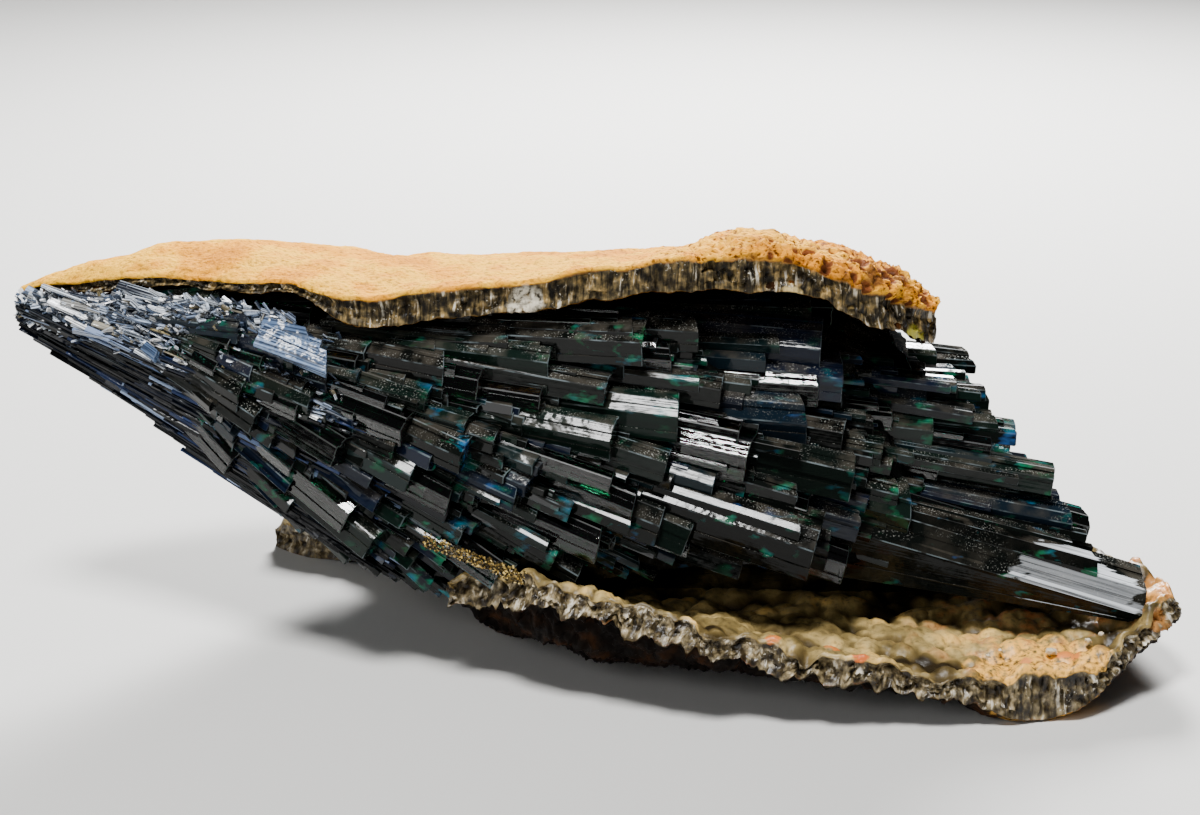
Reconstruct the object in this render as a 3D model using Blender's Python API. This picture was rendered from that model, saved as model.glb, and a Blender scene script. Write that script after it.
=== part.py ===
"""Vivianite specimen: a fan of dark prismatic crystals held between two plates of crust.

The crystals all spread from one point near the left tip, so a crystal needs only the place of its
tip, a length and a width: its direction follows from the fan's centre. Lengths are in millimetres
in the tables below and turned to metres where meshes are made.
"""
import math
import random

import bmesh
import bpy
import numpy
from mathutils import Matrix, Vector, noise

MM = 0.001
UP = Vector((0, 0, 1))
PLAN_CENTRE = Vector((-2.01, 10.3, 0.0))

# Crust plates: rows of points along the plate, front edge, middle and back edge, left to right.
UPPER_FRONT = ((-88, 20, 50), (-66, 12, 54), (-48, 4, 55), (-34, -3, 55), (-10, -4, 58),
               (10, -4, 61), (26, -2, 60), (38, -3, 56), (49, 8, 50))
UPPER_CREST = ((-87, 23, 50), (-65, 26, 56), (-45, 25, 56), (-30, 22, 55), (-8, 20, 56),
               (11, 14, 58), (21, 10, 62), (41, 10, 57), (50, 14, 50))
UPPER_BACK = ((-83, 27, 48), (-60, 37, 48), (-44, 41, 48), (-30, 43, 47), (-5, 44, 48),
              (15, 44, 50), (30, 41, 49), (44, 34, 46), (49, 22, 45))
LOWER_FRONT = ((-28, -12, 17), (-8, -18, 19), (6, -24, 18), (22, -28, 14), (42, -30, 10),
               (58, -29, 8), (71, -24, 9), (82, -12, 14))
LOWER_FLOOR = ((-19, 18, 8), (-8, 10, 8), (4, 6, 8), (20, 5, 8), (40, 3, 8),
               (57, 2, 8), (71, -2, 9), (82, -5, 14))
LOWER_BACK = ((-75, 42, 5), (-38, 50, 7), (0, 52, 9), (20, 51, 10), (40, 48, 12),
              (67, 39, 18), (73, 24, 12), (80, 3, 13))
UPPER_THICKNESS = ((-42, 1.8), (-34, 4.8), (14, 4.8), (22, 5.2), (32, 3.8), (38, 5.6), (43, 4.8))
LOWER_THICKNESS = ((-60, 3.4), (-24, 5.5), (-12, 8.5), (2, 8.5), (14, 6.8), (28, 4.8), (82, 4.0))
LOWER_RIM_THICKNESS = 4.8
LOWER_RIM_REACH = 0.13
CRUST_STEPS_ALONG = 34
CRUST_STEPS_ACROSS = 10
NUDGE = 0.004
UPPER_RAGGED_SHARE = 0.032
LOWER_RAGGED_SHARE = 0.045
RAGGED_WAVES = 13
LEFT_END_RAGGED = 0.03
LEFT_END_WAVES = 5
LEFT_BACK_CORNER = 0.05
LEFT_BACK_CORNER_FROM = 0.7
LUMP_HEIGHT = 0.7
LUMP_SIZE = 7.0

# Places where the lower plate's underside bulges down to a flat spot that it stands on.
FEET = ((60, -18), (-50, 44), (34, 36), (-10, 12))
FOOT_FLAT = 6.5
FOOT_BLEND = 14.0

# The fan's outer form: sections from the left tip to the right end, seven corners each, in the
# order front top, front middle, front bottom, front root, back bottom, back middle, back top.
FAN_CENTRE = Vector((-75, 18, 48))
SECTIONS = (
    ((-87, 18, 50), (-88, 17, 47), (-86, 19, 44), (-86, 21, 44), (-85, 23, 45), (-85, 24, 46),
     (-86, 23, 49)),
    ((-60, 9, 52), (-60, 3, 42), (-60, 6, 31), (-60, 14, 30), (-60, 24, 33), (-60, 34, 40),
     (-60, 30, 52)),
    ((-36, 0, 48), (-36, -8, 38), (-36, -5, 16), (-36, 7, 12), (-36, 34, 10), (-36, 43, 28),
     (-36, 38, 52)),
    ((-12, -1, 50), (-12, -12, 34), (-12, -10, 12), (-12, 4, 6), (-12, 42, 5), (-12, 47, 26),
     (-12, 41, 51)),
    ((12, 1, 51), (12, -12, 31), (12, -12, 16), (12, 5, 5), (12, 43, 6), (12, 46, 26),
     (12, 41, 51)),
    ((34, 5, 46), (36, -7, 31), (36, -10, 16), (36, 3, 5), (36, 41, 7), (36, 44, 28),
     (34, 36, 50)),
    ((46, 16, 41), (51, 4, 29), (55, -5, 14), (55, 3, 6), (54, 34, 11), (52, 36, 28),
     (47, 30, 42)),
)
FRONT_TOP, FRONT_MIDDLE, FRONT_BOTTOM, FRONT_ROOT, BACK_BOTTOM, BACK_MIDDLE, BACK_TOP = range(7)
CORE_INSET = 2.5
TIP_INSET = 0.2

# The crystals of the fan's sides stand in tiers, one under another. Along a tier their tips
# follow each other, close together at the left and far apart at the right, where the crystals
# are also the longest and widest. Each side has a number of tiers, a number of tips in a tier,
# and the corner lines that it runs through.
SEED = 41
FRONT_SIDE = (12, 8, (FRONT_TOP, FRONT_MIDDLE, FRONT_BOTTOM))
BACK_SIDE = (6, 6, (BACK_TOP, BACK_MIDDLE, BACK_BOTTOM))
TOP_SIDE = (3, 4, (FRONT_TOP, BACK_TOP))
TIPS_FROM = 0.2
TIPS_SPREAD_OUT = 1.5
TIP_STRAY = 0.25
HEIGHT_IN_TIER = (0.2, 0.8)
LOWEST_AT_LEFT = 0.92
LENGTH_AT_LEFT = 15.0
LENGTH_AT_RIGHT = 36.0
WIDTH_AT_LEFT = 3.8
WIDTH_AT_RIGHT = 6.2
SIZE_SPREAD = 0.35
ROLL_SPREAD = 14.0
LEAN_SPREAD = 3.0

# The fan's open right end: tiers of tips from the low front to the high back.
END_TIERS = 8
TIPS_IN_END_TIER = 4
END_LOW_TIP = Vector((81, -7, 13))
END_HIGH_TIP = Vector((52, 10, 41))
END_ACROSS = Vector((-9, 25, -2))
END_STEP_BACK = 6.0
END_SHARES = (0.3, 0.9)

# Three crystals stand out: tip, length, width, depth and roll in degrees. The largest lies low at
# the right just over the dish, the next low at the front, and the slab is under the upper plate.
LARGEST_CRYSTAL = (Vector((78, -10, 9)), 50.0, 10.0, 12.0, 4.0)
LONG_CRYSTAL = (Vector((31, -15, 22)), 36.0, 8.0, 7.0, 6.0)
SLAB_CRYSTAL = (Vector((7, -2, 49)), 26.0, 9.0, 5.0, 4.0)

# A crystal's section is a rectangle that has lost two opposite corners.
CORNER_CUT = 0.3
FLATNESS = (0.6, 0.9)
END_SLANT = (0.0, 0.45)
CLEARANCE = 0.35


def clear_scene():
    """Remove whatever the scene holds."""
    for item in list(bpy.data.objects):
        bpy.data.objects.remove(item, do_unlink=True)


def finish(name, colour, roughness, transmission=0.0):
    """Return a plain Principled finish."""
    material = bpy.data.materials.new(name)
    material.use_nodes = True
    shader = material.node_tree.nodes["Principled BSDF"]
    shader.inputs["Base Color"].default_value = (*colour, 1.0)
    shader.inputs["Roughness"].default_value = roughness
    shader.inputs["Metallic"].default_value = 0.0
    shader.inputs["Transmission Weight"].default_value = transmission
    return material


def spline_point(points, fraction):
    """Return the point at a fraction of a smooth curve through the points."""
    place = fraction * (len(points) - 1)
    index = min(int(place), len(points) - 2)
    step = place - index
    before, start, end, after = (
        Vector(points[min(max(index + offset, 0), len(points) - 1)]) for offset in (-1, 0, 1, 2))
    return 0.5 * (2 * start + (end - before) * step
                  + (2 * before - 5 * start + 4 * end - after) * step ** 2
                  + (3 * start - before - 3 * end + after) * step ** 3)


def plate_point(rows, along, across):
    """Return the point of the arched surface through a plate's three rows."""
    front, middle, back = (spline_point(row, along) for row in rows)
    return (front * (1 - across) * (1 - 2 * across)
            + middle * 4 * across * (1 - across)
            + back * across * (2 * across - 1))


def blend(value, low, high):
    """Return a smooth step from 0 at low to 1 at high."""
    share = min(max((value - low) / (high - low), 0.0), 1.0)
    return share * share * (3 - 2 * share)


def ragged(along, side):
    """Return how far a plate's broken edge steps in, as a share of the most that it does."""
    return 1 + noise.noise(Vector((along * RAGGED_WAVES, side, 0)))


def left_end(across):
    """Return how far the dish's left end steps in, most at its rounded back corner."""
    wave = noise.noise(Vector((across * LEFT_END_WAVES, 9, 0)))
    return LEFT_END_RAGGED * (1 + wave) + LEFT_BACK_CORNER * blend(across, LEFT_BACK_CORNER_FROM, 1)


def surface_grid(rows, ragged_share, rough_end=False):
    """Return a plate's surface points, its unit normals, which point up, and shares across."""
    points, normals, shares = [], [], []
    for i in range(CRUST_STEPS_ALONG + 1):
        share = i / CRUST_STEPS_ALONG
        front = ragged_share * ragged(share, 0)
        back = 1 - ragged_share * ragged(share, 1)
        for j in range(CRUST_STEPS_ACROSS + 1):
            across = front + (back - front) * j / CRUST_STEPS_ACROSS
            start = left_end(across) if rough_end else 0.0
            along = start + (1 - start) * share
            here = plate_point(rows, along, across)
            along_step = (plate_point(rows, min(along + NUDGE, 1), across)
                          - plate_point(rows, max(along - NUDGE, 0), across))
            across_step = (plate_point(rows, along, min(across + NUDGE, 1))
                           - plate_point(rows, along, max(across - NUDGE, 0)))
            points.append(here)
            normals.append(along_step.cross(across_step).normalized())
            shares.append(j / CRUST_STEPS_ACROSS)
    return points, normals, shares


def lump(point):
    """Return the height of the crust's lumps at a point."""
    return LUMP_HEIGHT * noise.noise(point / LUMP_SIZE)


def upper_thickness(point):
    """Return the upper plate's thickness, which is least over the fan's left part."""
    return float(numpy.interp(point.x, *zip(*UPPER_THICKNESS)))


def lower_thickness(point, share):
    """Return the lower plate's thickness, which is least at the right and at the front rim."""
    places, sizes = zip(*LOWER_THICKNESS)
    full = float(numpy.interp(point.x, places, sizes))
    rim = min(full, LOWER_RIM_THICKNESS)
    return rim + (full - rim) * blend(share, 0, LOWER_RIM_REACH)


def stand_on_feet(point):
    """Return a point of the underside, lowered to the ground near a foot."""
    for foot_x, foot_y in FEET:
        distance = math.hypot(point.x - foot_x, point.y - foot_y)
        point.z *= blend(distance, FOOT_FLAT, FOOT_BLEND)
    point.z = max(point.z, 0.0)
    return point


def plate_mesh(tops, bottoms, grow):
    """Return a closed plate from its top and bottom grids of points, grown on every side."""
    mesh = bmesh.new()
    top = [mesh.verts.new(point * MM) for point in tops]
    bottom = [mesh.verts.new(point * MM) for point in bottoms]
    width = CRUST_STEPS_ACROSS + 1
    for i in range(CRUST_STEPS_ALONG):
        for j in range(CRUST_STEPS_ACROSS):
            corners = (i * width + j, (i + 1) * width + j, (i + 1) * width + j + 1, i * width + j + 1)
            mesh.faces.new([top[k] for k in corners])
            mesh.faces.new([bottom[k] for k in reversed(corners)])
    last = CRUST_STEPS_ALONG * width
    rim = [i * width for i in range(CRUST_STEPS_ALONG)]
    rim += [last + j for j in range(CRUST_STEPS_ACROSS)]
    rim += [last + CRUST_STEPS_ACROSS - i * width for i in range(CRUST_STEPS_ALONG)]
    rim += [CRUST_STEPS_ACROSS - j for j in range(CRUST_STEPS_ACROSS)]
    for here, there in zip(rim, rim[1:] + rim[:1]):
        mesh.faces.new((top[there], top[here], bottom[here], bottom[there]))
    bmesh.ops.triangulate(mesh, faces=mesh.faces)
    bmesh.ops.recalc_face_normals(mesh, faces=mesh.faces)
    mesh.normal_update()
    steps = [vertex.normal * vertex.calc_shell_factor() * grow * MM for vertex in mesh.verts]
    for vertex, step in zip(mesh.verts, steps):
        vertex.co += step
    return mesh


def upper_crust_mesh(grow=0.0):
    """Return the thin domed plate, or the same grown on every side."""
    rows = (UPPER_FRONT, UPPER_CREST, UPPER_BACK)
    points, normals, _ = surface_grid(rows, UPPER_RAGGED_SHARE)
    tops = [p + n * lump(p) for p, n in zip(points, normals)]
    bottoms = [p - UP * (upper_thickness(p) - lump(p + n)) for p, n in zip(points, normals)]
    return plate_mesh(tops, bottoms, grow)


def lower_crust_mesh(grow=0.0):
    """Return the shallow dish with its feet, or the same grown on every side."""
    rows = (LOWER_FRONT, LOWER_FLOOR, LOWER_BACK)
    points, normals, shares = surface_grid(rows, LOWER_RAGGED_SHARE, rough_end=True)
    tops = [p + n * lump(p) for p, n in zip(points, normals)]
    bottoms = [stand_on_feet(p - n * lower_thickness(p, share))
               for p, n, share in zip(points, normals, shares)]
    return plate_mesh(tops, bottoms, grow)


def fan_point(fraction, first, second, share):
    """Return a point of the fan's outer form, between two of its seven corner lines."""
    start = spline_point([section[first] for section in SECTIONS], fraction)
    end = spline_point([section[second] for section in SECTIONS], fraction)
    return start.lerp(end, share)


def core_mesh():
    """Return the body that all crystals grow together in, a little inside the fan's form."""
    mesh = bmesh.new()
    loops = []
    for section in SECTIONS:
        corners = [Vector(corner) for corner in section]
        centre = sum(corners, Vector()) / len(corners)
        inset = [min(CORE_INSET, (corner - centre).length * TIP_INSET) for corner in corners]
        loops.append([mesh.verts.new((corner + (centre - corner).normalized() * step) * MM)
                      for corner, step in zip(corners, inset)])
    count = len(SECTIONS[0])
    for left, right in zip(loops, loops[1:]):
        for k in range(count):
            mesh.faces.new((left[k], right[k], right[(k + 1) % count], left[(k + 1) % count]))
    mesh.faces.new(loops[0])
    mesh.faces.new(list(reversed(loops[-1])))
    bmesh.ops.triangulate(mesh, faces=mesh.faces)
    bmesh.ops.recalc_face_normals(mesh, faces=mesh.faces)
    return mesh


def add_crystal(mesh, tip, length, width, depth, roll, slant, lean=(0.0, 0.0)):
    """Add a six-sided prism that points away from the fan's centre, but for its lean."""
    axis = (tip - FAN_CENTRE).normalized()
    length = min(length, (tip - FAN_CENTRE).length)
    turn = axis.to_track_quat("Z", "Y").to_matrix()
    for angle, name in ((roll, "Z"), (lean[0], "X"), (lean[1], "Y")):
        turn = turn @ Matrix.Rotation(math.radians(angle), 3, name)
    near = 1 - 2 * CORNER_CUT
    low, high = [], []
    for x, y in ((-1, -1), (near, -1), (1, -near), (1, 1), (-near, 1), (-1, near)):
        side = Vector((x * width / 2, y * depth / 2, 0))
        step_back = slant * (side.x + width / 2)
        low.append(mesh.verts.new((tip + turn @ (side - Vector((0, 0, length)))) * MM))
        high.append(mesh.verts.new((tip + turn @ (side - Vector((0, 0, step_back)))) * MM))
    count = len(low)
    for k in range(count):
        mesh.faces.new((low[k], low[(k + 1) % count], high[(k + 1) % count], high[k]))
    mesh.faces.new(high)
    mesh.faces.new(list(reversed(low)))


def add_tier_crystal(mesh, draw, tip, share):
    """Add a crystal whose size follows its share of the way to the right, and chance."""
    length = LENGTH_AT_LEFT + (LENGTH_AT_RIGHT - LENGTH_AT_LEFT) * share
    width = WIDTH_AT_LEFT + (WIDTH_AT_RIGHT - WIDTH_AT_LEFT) * share
    length *= draw.uniform(1 - SIZE_SPREAD, 1 + SIZE_SPREAD)
    width *= draw.uniform(1 - SIZE_SPREAD, 1 + SIZE_SPREAD)
    depth = width * draw.uniform(*FLATNESS)
    roll = draw.uniform(-ROLL_SPREAD, ROLL_SPREAD)
    slant = draw.uniform(*END_SLANT)
    lean = [draw.uniform(-LEAN_SPREAD, LEAN_SPREAD) for _ in range(2)]
    add_crystal(mesh, tip, length, width, depth, roll, slant, lean)


def add_side_tiers(mesh, draw, tiers, tips, corners):
    """Add the tiers of crystals along one side of the fan."""
    for tier in range(tiers):
        stagger = draw.random()
        for index in range(tips):
            place = index + stagger + draw.uniform(-TIP_STRAY, TIP_STRAY)
            share = min(max(place / tips, 0), 1)
            fraction = TIPS_FROM + (1 - TIPS_FROM) * share ** TIPS_SPREAD_OUT
            lowest = LOWEST_AT_LEFT + (1 - LOWEST_AT_LEFT) * share
            height = (len(corners) - 1) * lowest * (tier + draw.uniform(*HEIGHT_IN_TIER)) / tiers
            leg = int(height)
            tip = fan_point(fraction, corners[leg], corners[leg + 1], height - leg)
            add_tier_crystal(mesh, draw, tip, share)


def add_end_tiers(mesh, draw):
    """Add the tiers of crystals at the fan's open right end."""
    for tier in range(END_TIERS):
        for index in range(TIPS_IN_END_TIER):
            tip = END_LOW_TIP.lerp(END_HIGH_TIP, (tier + draw.random()) / END_TIERS)
            tip += END_ACROSS * (index + draw.random()) / TIPS_IN_END_TIER
            tip.x -= draw.uniform(0, END_STEP_BACK)
            add_tier_crystal(mesh, draw, tip, draw.uniform(*END_SHARES))


def crystals_mesh():
    """Return every crystal as its own closed prism in one mesh."""
    mesh = bmesh.new()
    draw = random.Random(SEED)
    for tip, length, width, depth, roll in (LARGEST_CRYSTAL, LONG_CRYSTAL, SLAB_CRYSTAL):
        add_crystal(mesh, tip, length, width, depth, roll, draw.uniform(*END_SLANT))
    for side in (FRONT_SIDE, BACK_SIDE, TOP_SIDE):
        add_side_tiers(mesh, draw, *side)
    add_end_tiers(mesh, draw)
    bmesh.ops.triangulate(mesh, faces=mesh.faces)
    bmesh.ops.recalc_face_normals(mesh, faces=mesh.faces)
    return mesh


def to_object(name, mesh, material=None):
    """Put a mesh in the scene, set on the plan's centre."""
    bmesh.ops.translate(mesh, verts=mesh.verts, vec=-PLAN_CENTRE * MM)
    data = bpy.data.meshes.new(name)
    mesh.to_mesh(data)
    mesh.free()
    item = bpy.data.objects.new(name, data)
    bpy.context.scene.collection.objects.link(item)
    if material:
        data.materials.append(material)
    return item


def boolean(item, other, operation):
    """Apply one boolean step to an object and remove the other object."""
    step = item.modifiers.new("step", "BOOLEAN")
    step.operation = operation
    step.solver = "EXACT"
    step.use_self = operation == "UNION"
    step.object = other
    graph = bpy.context.evaluated_depsgraph_get()
    result = bpy.data.meshes.new_from_object(item.evaluated_get(graph))
    item.modifiers.clear()
    item.data = result
    bpy.data.objects.remove(other, do_unlink=True)


def keep_largest_body(item):
    """Delete every loose scrap that cutting left, all but the largest body."""
    mesh = bmesh.new()
    mesh.from_mesh(item.data)
    waiting = set(mesh.verts)
    bodies = []
    while waiting:
        body, edge = set(), [waiting.pop()]
        while edge:
            vertex = edge.pop()
            body.add(vertex)
            linked = {link.other_vert(vertex) for link in vertex.link_edges} & waiting
            waiting -= linked
            edge.extend(linked)
        bodies.append(body)
    largest = max(bodies, key=len)
    scraps = [vertex for vertex in mesh.verts if vertex not in largest]
    bmesh.ops.delete(mesh, geom=scraps, context="VERTS")
    bmesh.ops.triangulate(mesh, faces=mesh.faces)
    mesh.to_mesh(item.data)
    mesh.free()


def make_spray(material):
    """Grow the crystals together and fit them between the two plates."""
    spray = to_object("vivianite_spray", core_mesh(), material)
    boolean(spray, to_object("crystals", crystals_mesh()), "UNION")
    boolean(spray, to_object("upper_gap", upper_crust_mesh(CLEARANCE)), "DIFFERENCE")
    boolean(spray, to_object("lower_gap", lower_crust_mesh(CLEARANCE)), "DIFFERENCE")
    keep_largest_body(spray)
    return spray


def main():
    """Build the specimen."""
    clear_scene()
    to_object("upper_crust", upper_crust_mesh(), finish("tan crust", (0.55, 0.30, 0.13), 0.85))
    to_object("lower_crust", lower_crust_mesh(), finish("olive crust", (0.15, 0.11, 0.05), 0.6))
    make_spray(finish("vivianite", (0.01, 0.05, 0.04), 0.12, 0.5))


main()
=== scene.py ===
"""Dresses a vivianite specimen: dark glassy crystals fanned out between two plates of crust.

All sizes are real ones, in millimetres unless a name says otherwise. The specimen's tables are in
its growth frame, and PLAN_CENTRE moves them to the frame that the solids stand in.
"""

import logging
import math
import random
from collections.abc import Callable, Iterator
from contextlib import contextmanager
from dataclasses import dataclass, field
from enum import Enum
from functools import partial

import bmesh
import bpy
import numpy as np
from bpy.types import Collection, Material, Mesh, Node, NodeSocket, NodeTree, Object
from mathutils import Matrix, Vector, noise
from mathutils.bvhtree import BVHTree

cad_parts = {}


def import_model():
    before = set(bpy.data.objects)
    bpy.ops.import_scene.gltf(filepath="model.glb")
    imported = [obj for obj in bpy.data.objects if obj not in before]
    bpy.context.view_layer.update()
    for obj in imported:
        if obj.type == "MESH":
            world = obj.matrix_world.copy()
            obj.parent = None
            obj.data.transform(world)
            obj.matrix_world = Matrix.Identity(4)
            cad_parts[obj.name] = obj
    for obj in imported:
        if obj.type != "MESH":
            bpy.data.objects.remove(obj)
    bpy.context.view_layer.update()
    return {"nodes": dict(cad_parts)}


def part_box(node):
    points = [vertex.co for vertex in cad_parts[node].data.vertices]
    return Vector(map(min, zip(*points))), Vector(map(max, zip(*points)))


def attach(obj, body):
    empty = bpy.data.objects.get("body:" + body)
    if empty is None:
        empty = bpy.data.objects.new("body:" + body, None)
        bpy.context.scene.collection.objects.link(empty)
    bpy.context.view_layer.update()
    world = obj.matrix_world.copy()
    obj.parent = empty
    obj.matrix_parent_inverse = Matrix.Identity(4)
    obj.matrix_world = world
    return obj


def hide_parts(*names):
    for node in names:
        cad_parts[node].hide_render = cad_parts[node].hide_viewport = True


LOG = logging.getLogger("vivianite")
Place = tuple[float, float, float]
Row = tuple[Place, ...]
Range = tuple[float, float]
Profile = tuple[Range, ...]
Stops = tuple[tuple[float, str], ...]
Adder = Callable[..., NodeSocket]

MM = 0.001
UP, DOWN = Vector((0, 0, 1)), Vector((0, 0, -1))
PLAN_CENTRE = Vector((-2.01, 10.3, 0.0))
FAN_CENTRE = Vector((-75, 18, 48))
BLADE_CENTRE = Vector((-112, 27, 57))
BODY = "root"

# The fan's outer form: sections from the left tip to the right end, seven corners each.
SECTIONS = (
    ((-87, 18, 50), (-88, 17, 47), (-86, 19, 44), (-86, 21, 44), (-85, 23, 45), (-85, 24, 46),
     (-86, 23, 49)),
    ((-60, 9, 52), (-60, 3, 42), (-60, 6, 31), (-60, 14, 30), (-60, 24, 33), (-60, 34, 40),
     (-60, 30, 52)),
    ((-36, 0, 48), (-36, -8, 38), (-36, -5, 16), (-36, 7, 12), (-36, 34, 10), (-36, 43, 28),
     (-36, 38, 52)),
    ((-12, -1, 50), (-12, -12, 34), (-12, -10, 12), (-12, 4, 6), (-12, 42, 5), (-12, 47, 26),
     (-12, 41, 51)),
    ((12, 1, 51), (12, -12, 31), (12, -12, 16), (12, 5, 5), (12, 43, 6), (12, 46, 26),
     (12, 41, 51)),
    ((34, 5, 46), (36, -7, 31), (36, -10, 16), (36, 3, 5), (36, 41, 7), (36, 44, 28),
     (34, 36, 50)),
    ((46, 16, 41), (51, 4, 29), (55, -5, 14), (55, 3, 6), (54, 34, 11), (52, 36, 28),
     (47, 30, 42)),
)

FRONT_TOP, FRONT_MIDDLE, FRONT_BOTTOM, FRONT_ROOT, BACK_BOTTOM, BACK_MIDDLE, BACK_TOP = range(7)


class Relief(Enum):
    """How the growth side of a crust plate looks."""

    GRANULAR = "granular"
    BOTRYOIDAL = "botryoidal"


class Knot(Enum):
    """The kinds of node in use: Blender's type, input sockets, output socket and settings."""

    PLACE = ("ShaderNodeTexCoord", (), "Object", {})
    ATTRIBUTE = ("ShaderNodeAttribute", (), "Fac", {})
    NORMAL = ("ShaderNodeNewGeometry", (), "Normal", {})
    STRETCH = ("ShaderNodeMapping", ("Vector", "Scale"), "Vector", {})
    NOISE = ("ShaderNodeTexNoise", ("Vector", "Scale", "Detail", "Distortion"), "Fac", {})
    RAMP = ("ShaderNodeValToRGB", ("Fac",), "Color", {})
    RANGE = ("ShaderNodeMapRange", ("Value", "From Min", "From Max", "To Min", "To Max"),
             "Result", {})
    MIX = ("ShaderNodeMix", (0, 6, 7), 2, {"data_type": "RGBA"})
    MIX_VALUES = ("ShaderNodeMix", (0, 2, 3), 0, {"data_type": "FLOAT"})
    TIMES = ("ShaderNodeMath", (0, 1), 0, {"operation": "MULTIPLY"})
    PLUS = ("ShaderNodeMath", (0, 1), 0, {"operation": "ADD"})
    OVER = ("ShaderNodeMath", (0, 1), 0, {"operation": "DIVIDE"})
    LARGER = ("ShaderNodeMath", (0, 1), 0, {"operation": "MAXIMUM"})
    GET_X = ("ShaderNodeSeparateXYZ", ("Vector",), "X", {})
    GET_Z = ("ShaderNodeSeparateXYZ", ("Vector",), "Z", {})
    JOIN = ("ShaderNodeCombineXYZ", ("X", "Y", "Z"), 0, {})
    DISTANCE = ("ShaderNodeVectorMath", (0, 1), "Value", {"operation": "DISTANCE"})
    SUM = ("ShaderNodeVectorMath", (0, 1), 0, {"operation": "ADD"})
    LESS = ("ShaderNodeVectorMath", (0, 1), 0, {"operation": "SUBTRACT"})
    UNIT = ("ShaderNodeVectorMath", (0,), 0, {"operation": "NORMALIZE"})
    SCALE = ("ShaderNodeVectorMath", (0, "Scale"), 0, {"operation": "SCALE"})
    BUMP = ("ShaderNodeBump", ("Height", "Distance", "Strength"), "Normal", {})
    ABSORB = ("ShaderNodeVolumeAbsorption", ("Color", "Density"), 0, {})
    SCATTER = ("GeometryNodeDistributePointsOnFaces", ("Mesh", "Density", "Seed"), "Points", {})
    POSITION = ("GeometryNodeInputPosition", (), 0, {})
    CHANCE = ("FunctionNodeRandomValue", (2, 3, "Seed"), 1, {"data_type": "FLOAT"})
    STRAY = ("FunctionNodeRandomValue", (0, 1, "Seed"), 0, {"data_type": "FLOAT_VECTOR"})
    ALIGN = ("FunctionNodeAlignRotationToVector", ("Vector", "Rotation"), 0, {})
    ABOUT = ("FunctionNodeAxisAngleToRotation", ("Axis", "Angle"), 0, {})
    TURN = ("FunctionNodeRotateRotation", ("Rotation", "Rotate By"), 0,
            {"rotation_space": "LOCAL"})
    MOVE = ("GeometryNodeSetPosition", ("Geometry", "Offset"), 0, {})
    FORMS = ("GeometryNodeCollectionInfo", ("Collection", "Separate Children", "Reset Children"),
             0, {})
    PLANT = ("GeometryNodeInstanceOnPoints",
             ("Points", "Instance", "Pick Instance", "Rotation", "Scale"), 0, {})
    NOTE = ("GeometryNodeStoreNamedAttribute", ("Geometry", "Name", "Value"), 0,
            {"data_type": "FLOAT", "domain": "INSTANCE"})
    REALIZE = ("GeometryNodeRealizeInstances", ("Geometry",), 0, {})
    DRESS = ("GeometryNodeSetMaterial", ("Geometry", "Material"), 0, {})


def linear(hex_colour: str) -> tuple[float, float, float, float]:
    """Turn an sRGB hex value into a linear colour.

    Args:
        hex_colour: six hex digits after a hash.

    Returns:
        Red, green, blue and alpha.
    """
    values = [int(hex_colour[i:i + 2], 16) / 255 for i in (1, 3, 5)]
    turned = [v / 12.92 if v <= 0.04045 else ((v + 0.055) / 1.055) ** 2.4 for v in values]
    return (turned[0], turned[1], turned[2], 1.0)


def feed(node: Node, inputs: dict[str | int, object]) -> None:
    """Set a node's inputs, each from a socket, a hex colour or a plain value.

    Args:
        node: the node.
        inputs: what feeds each input, by its name or its place.
    """
    for name, source in inputs.items():
        if isinstance(source, NodeSocket):
            node.id_data.links.new(source, node.inputs[name])
        elif isinstance(source, str) and source.startswith("#"):
            node.inputs[name].default_value = linear(source)
        else:
            node.inputs[name].default_value = source


def add_node(tree: NodeTree, knot: Knot, *sources: object, stops: Stops = (),
             **settings: object) -> NodeSocket:
    """Add a node with its settings and links.

    Args:
        tree: the tree that gets the node.
        knot: the kind of node.
        sources: what feeds each of the knot's inputs, in their order.
        stops: position and hex colour of each stop of a ramp.
        settings: the node's own properties, beside the knot's.

    Returns:
        The knot's output socket.
    """
    kind, inputs, output, given = knot.value
    node = tree.nodes.new(kind)
    for name, value in {**given, **settings}.items():
        setattr(node, name, value)
    feed(node, dict(zip(inputs, sources)))
    if stops:
        band = node.color_ramp.elements
        while len(band) < len(stops):
            band.new(0.5)
        for element, (place, colour) in zip(band, stops):
            element.position, element.color = place, linear(colour)
    return node.outputs[output]


def in_frame(point: Vector | Place) -> Vector:
    """Return a point of the growth frame, in millimetres, in the solids' frame, in metres."""
    return (Vector(point) - PLAN_CENTRE) * MM


@dataclass(frozen=True)
class Finish:
    """What every finish shares: a Principled shader and noise of a real size."""

    name: str

    def start(self) -> tuple[Material, Adder, Node]:
        """Start the finish.

        Returns:
            A new material, what adds a node to its tree, and its shader.
        """
        material = bpy.data.materials.new(self.name)
        material.use_nodes = True
        tree = material.node_tree
        return material, partial(add_node, tree), tree.nodes["Principled BSDF"]

    @staticmethod
    def pattern(add: Adder, size: float, detail: float = 3.0, stretch: Place = (1, 1, 1),
                cover: Range | None = None) -> NodeSocket:
        """Make noise on Object coordinates whose blotches have a real size.

        Args:
            add: adds a node to the material's tree.
            size: size of a blotch.
            detail: octaves of finer noise.
            stretch: how many times finer it is along each axis.
            cover: the noise values that become 0 and 1, if it is sharpened.

        Returns:
            The noise value's socket.
        """
        place = add(Knot.STRETCH, add(Knot.PLACE), stretch)
        made = add(Knot.NOISE, place, 1 / (size * MM), detail)
        return add(Knot.RANGE, made, *cover) if cover else made


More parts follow.
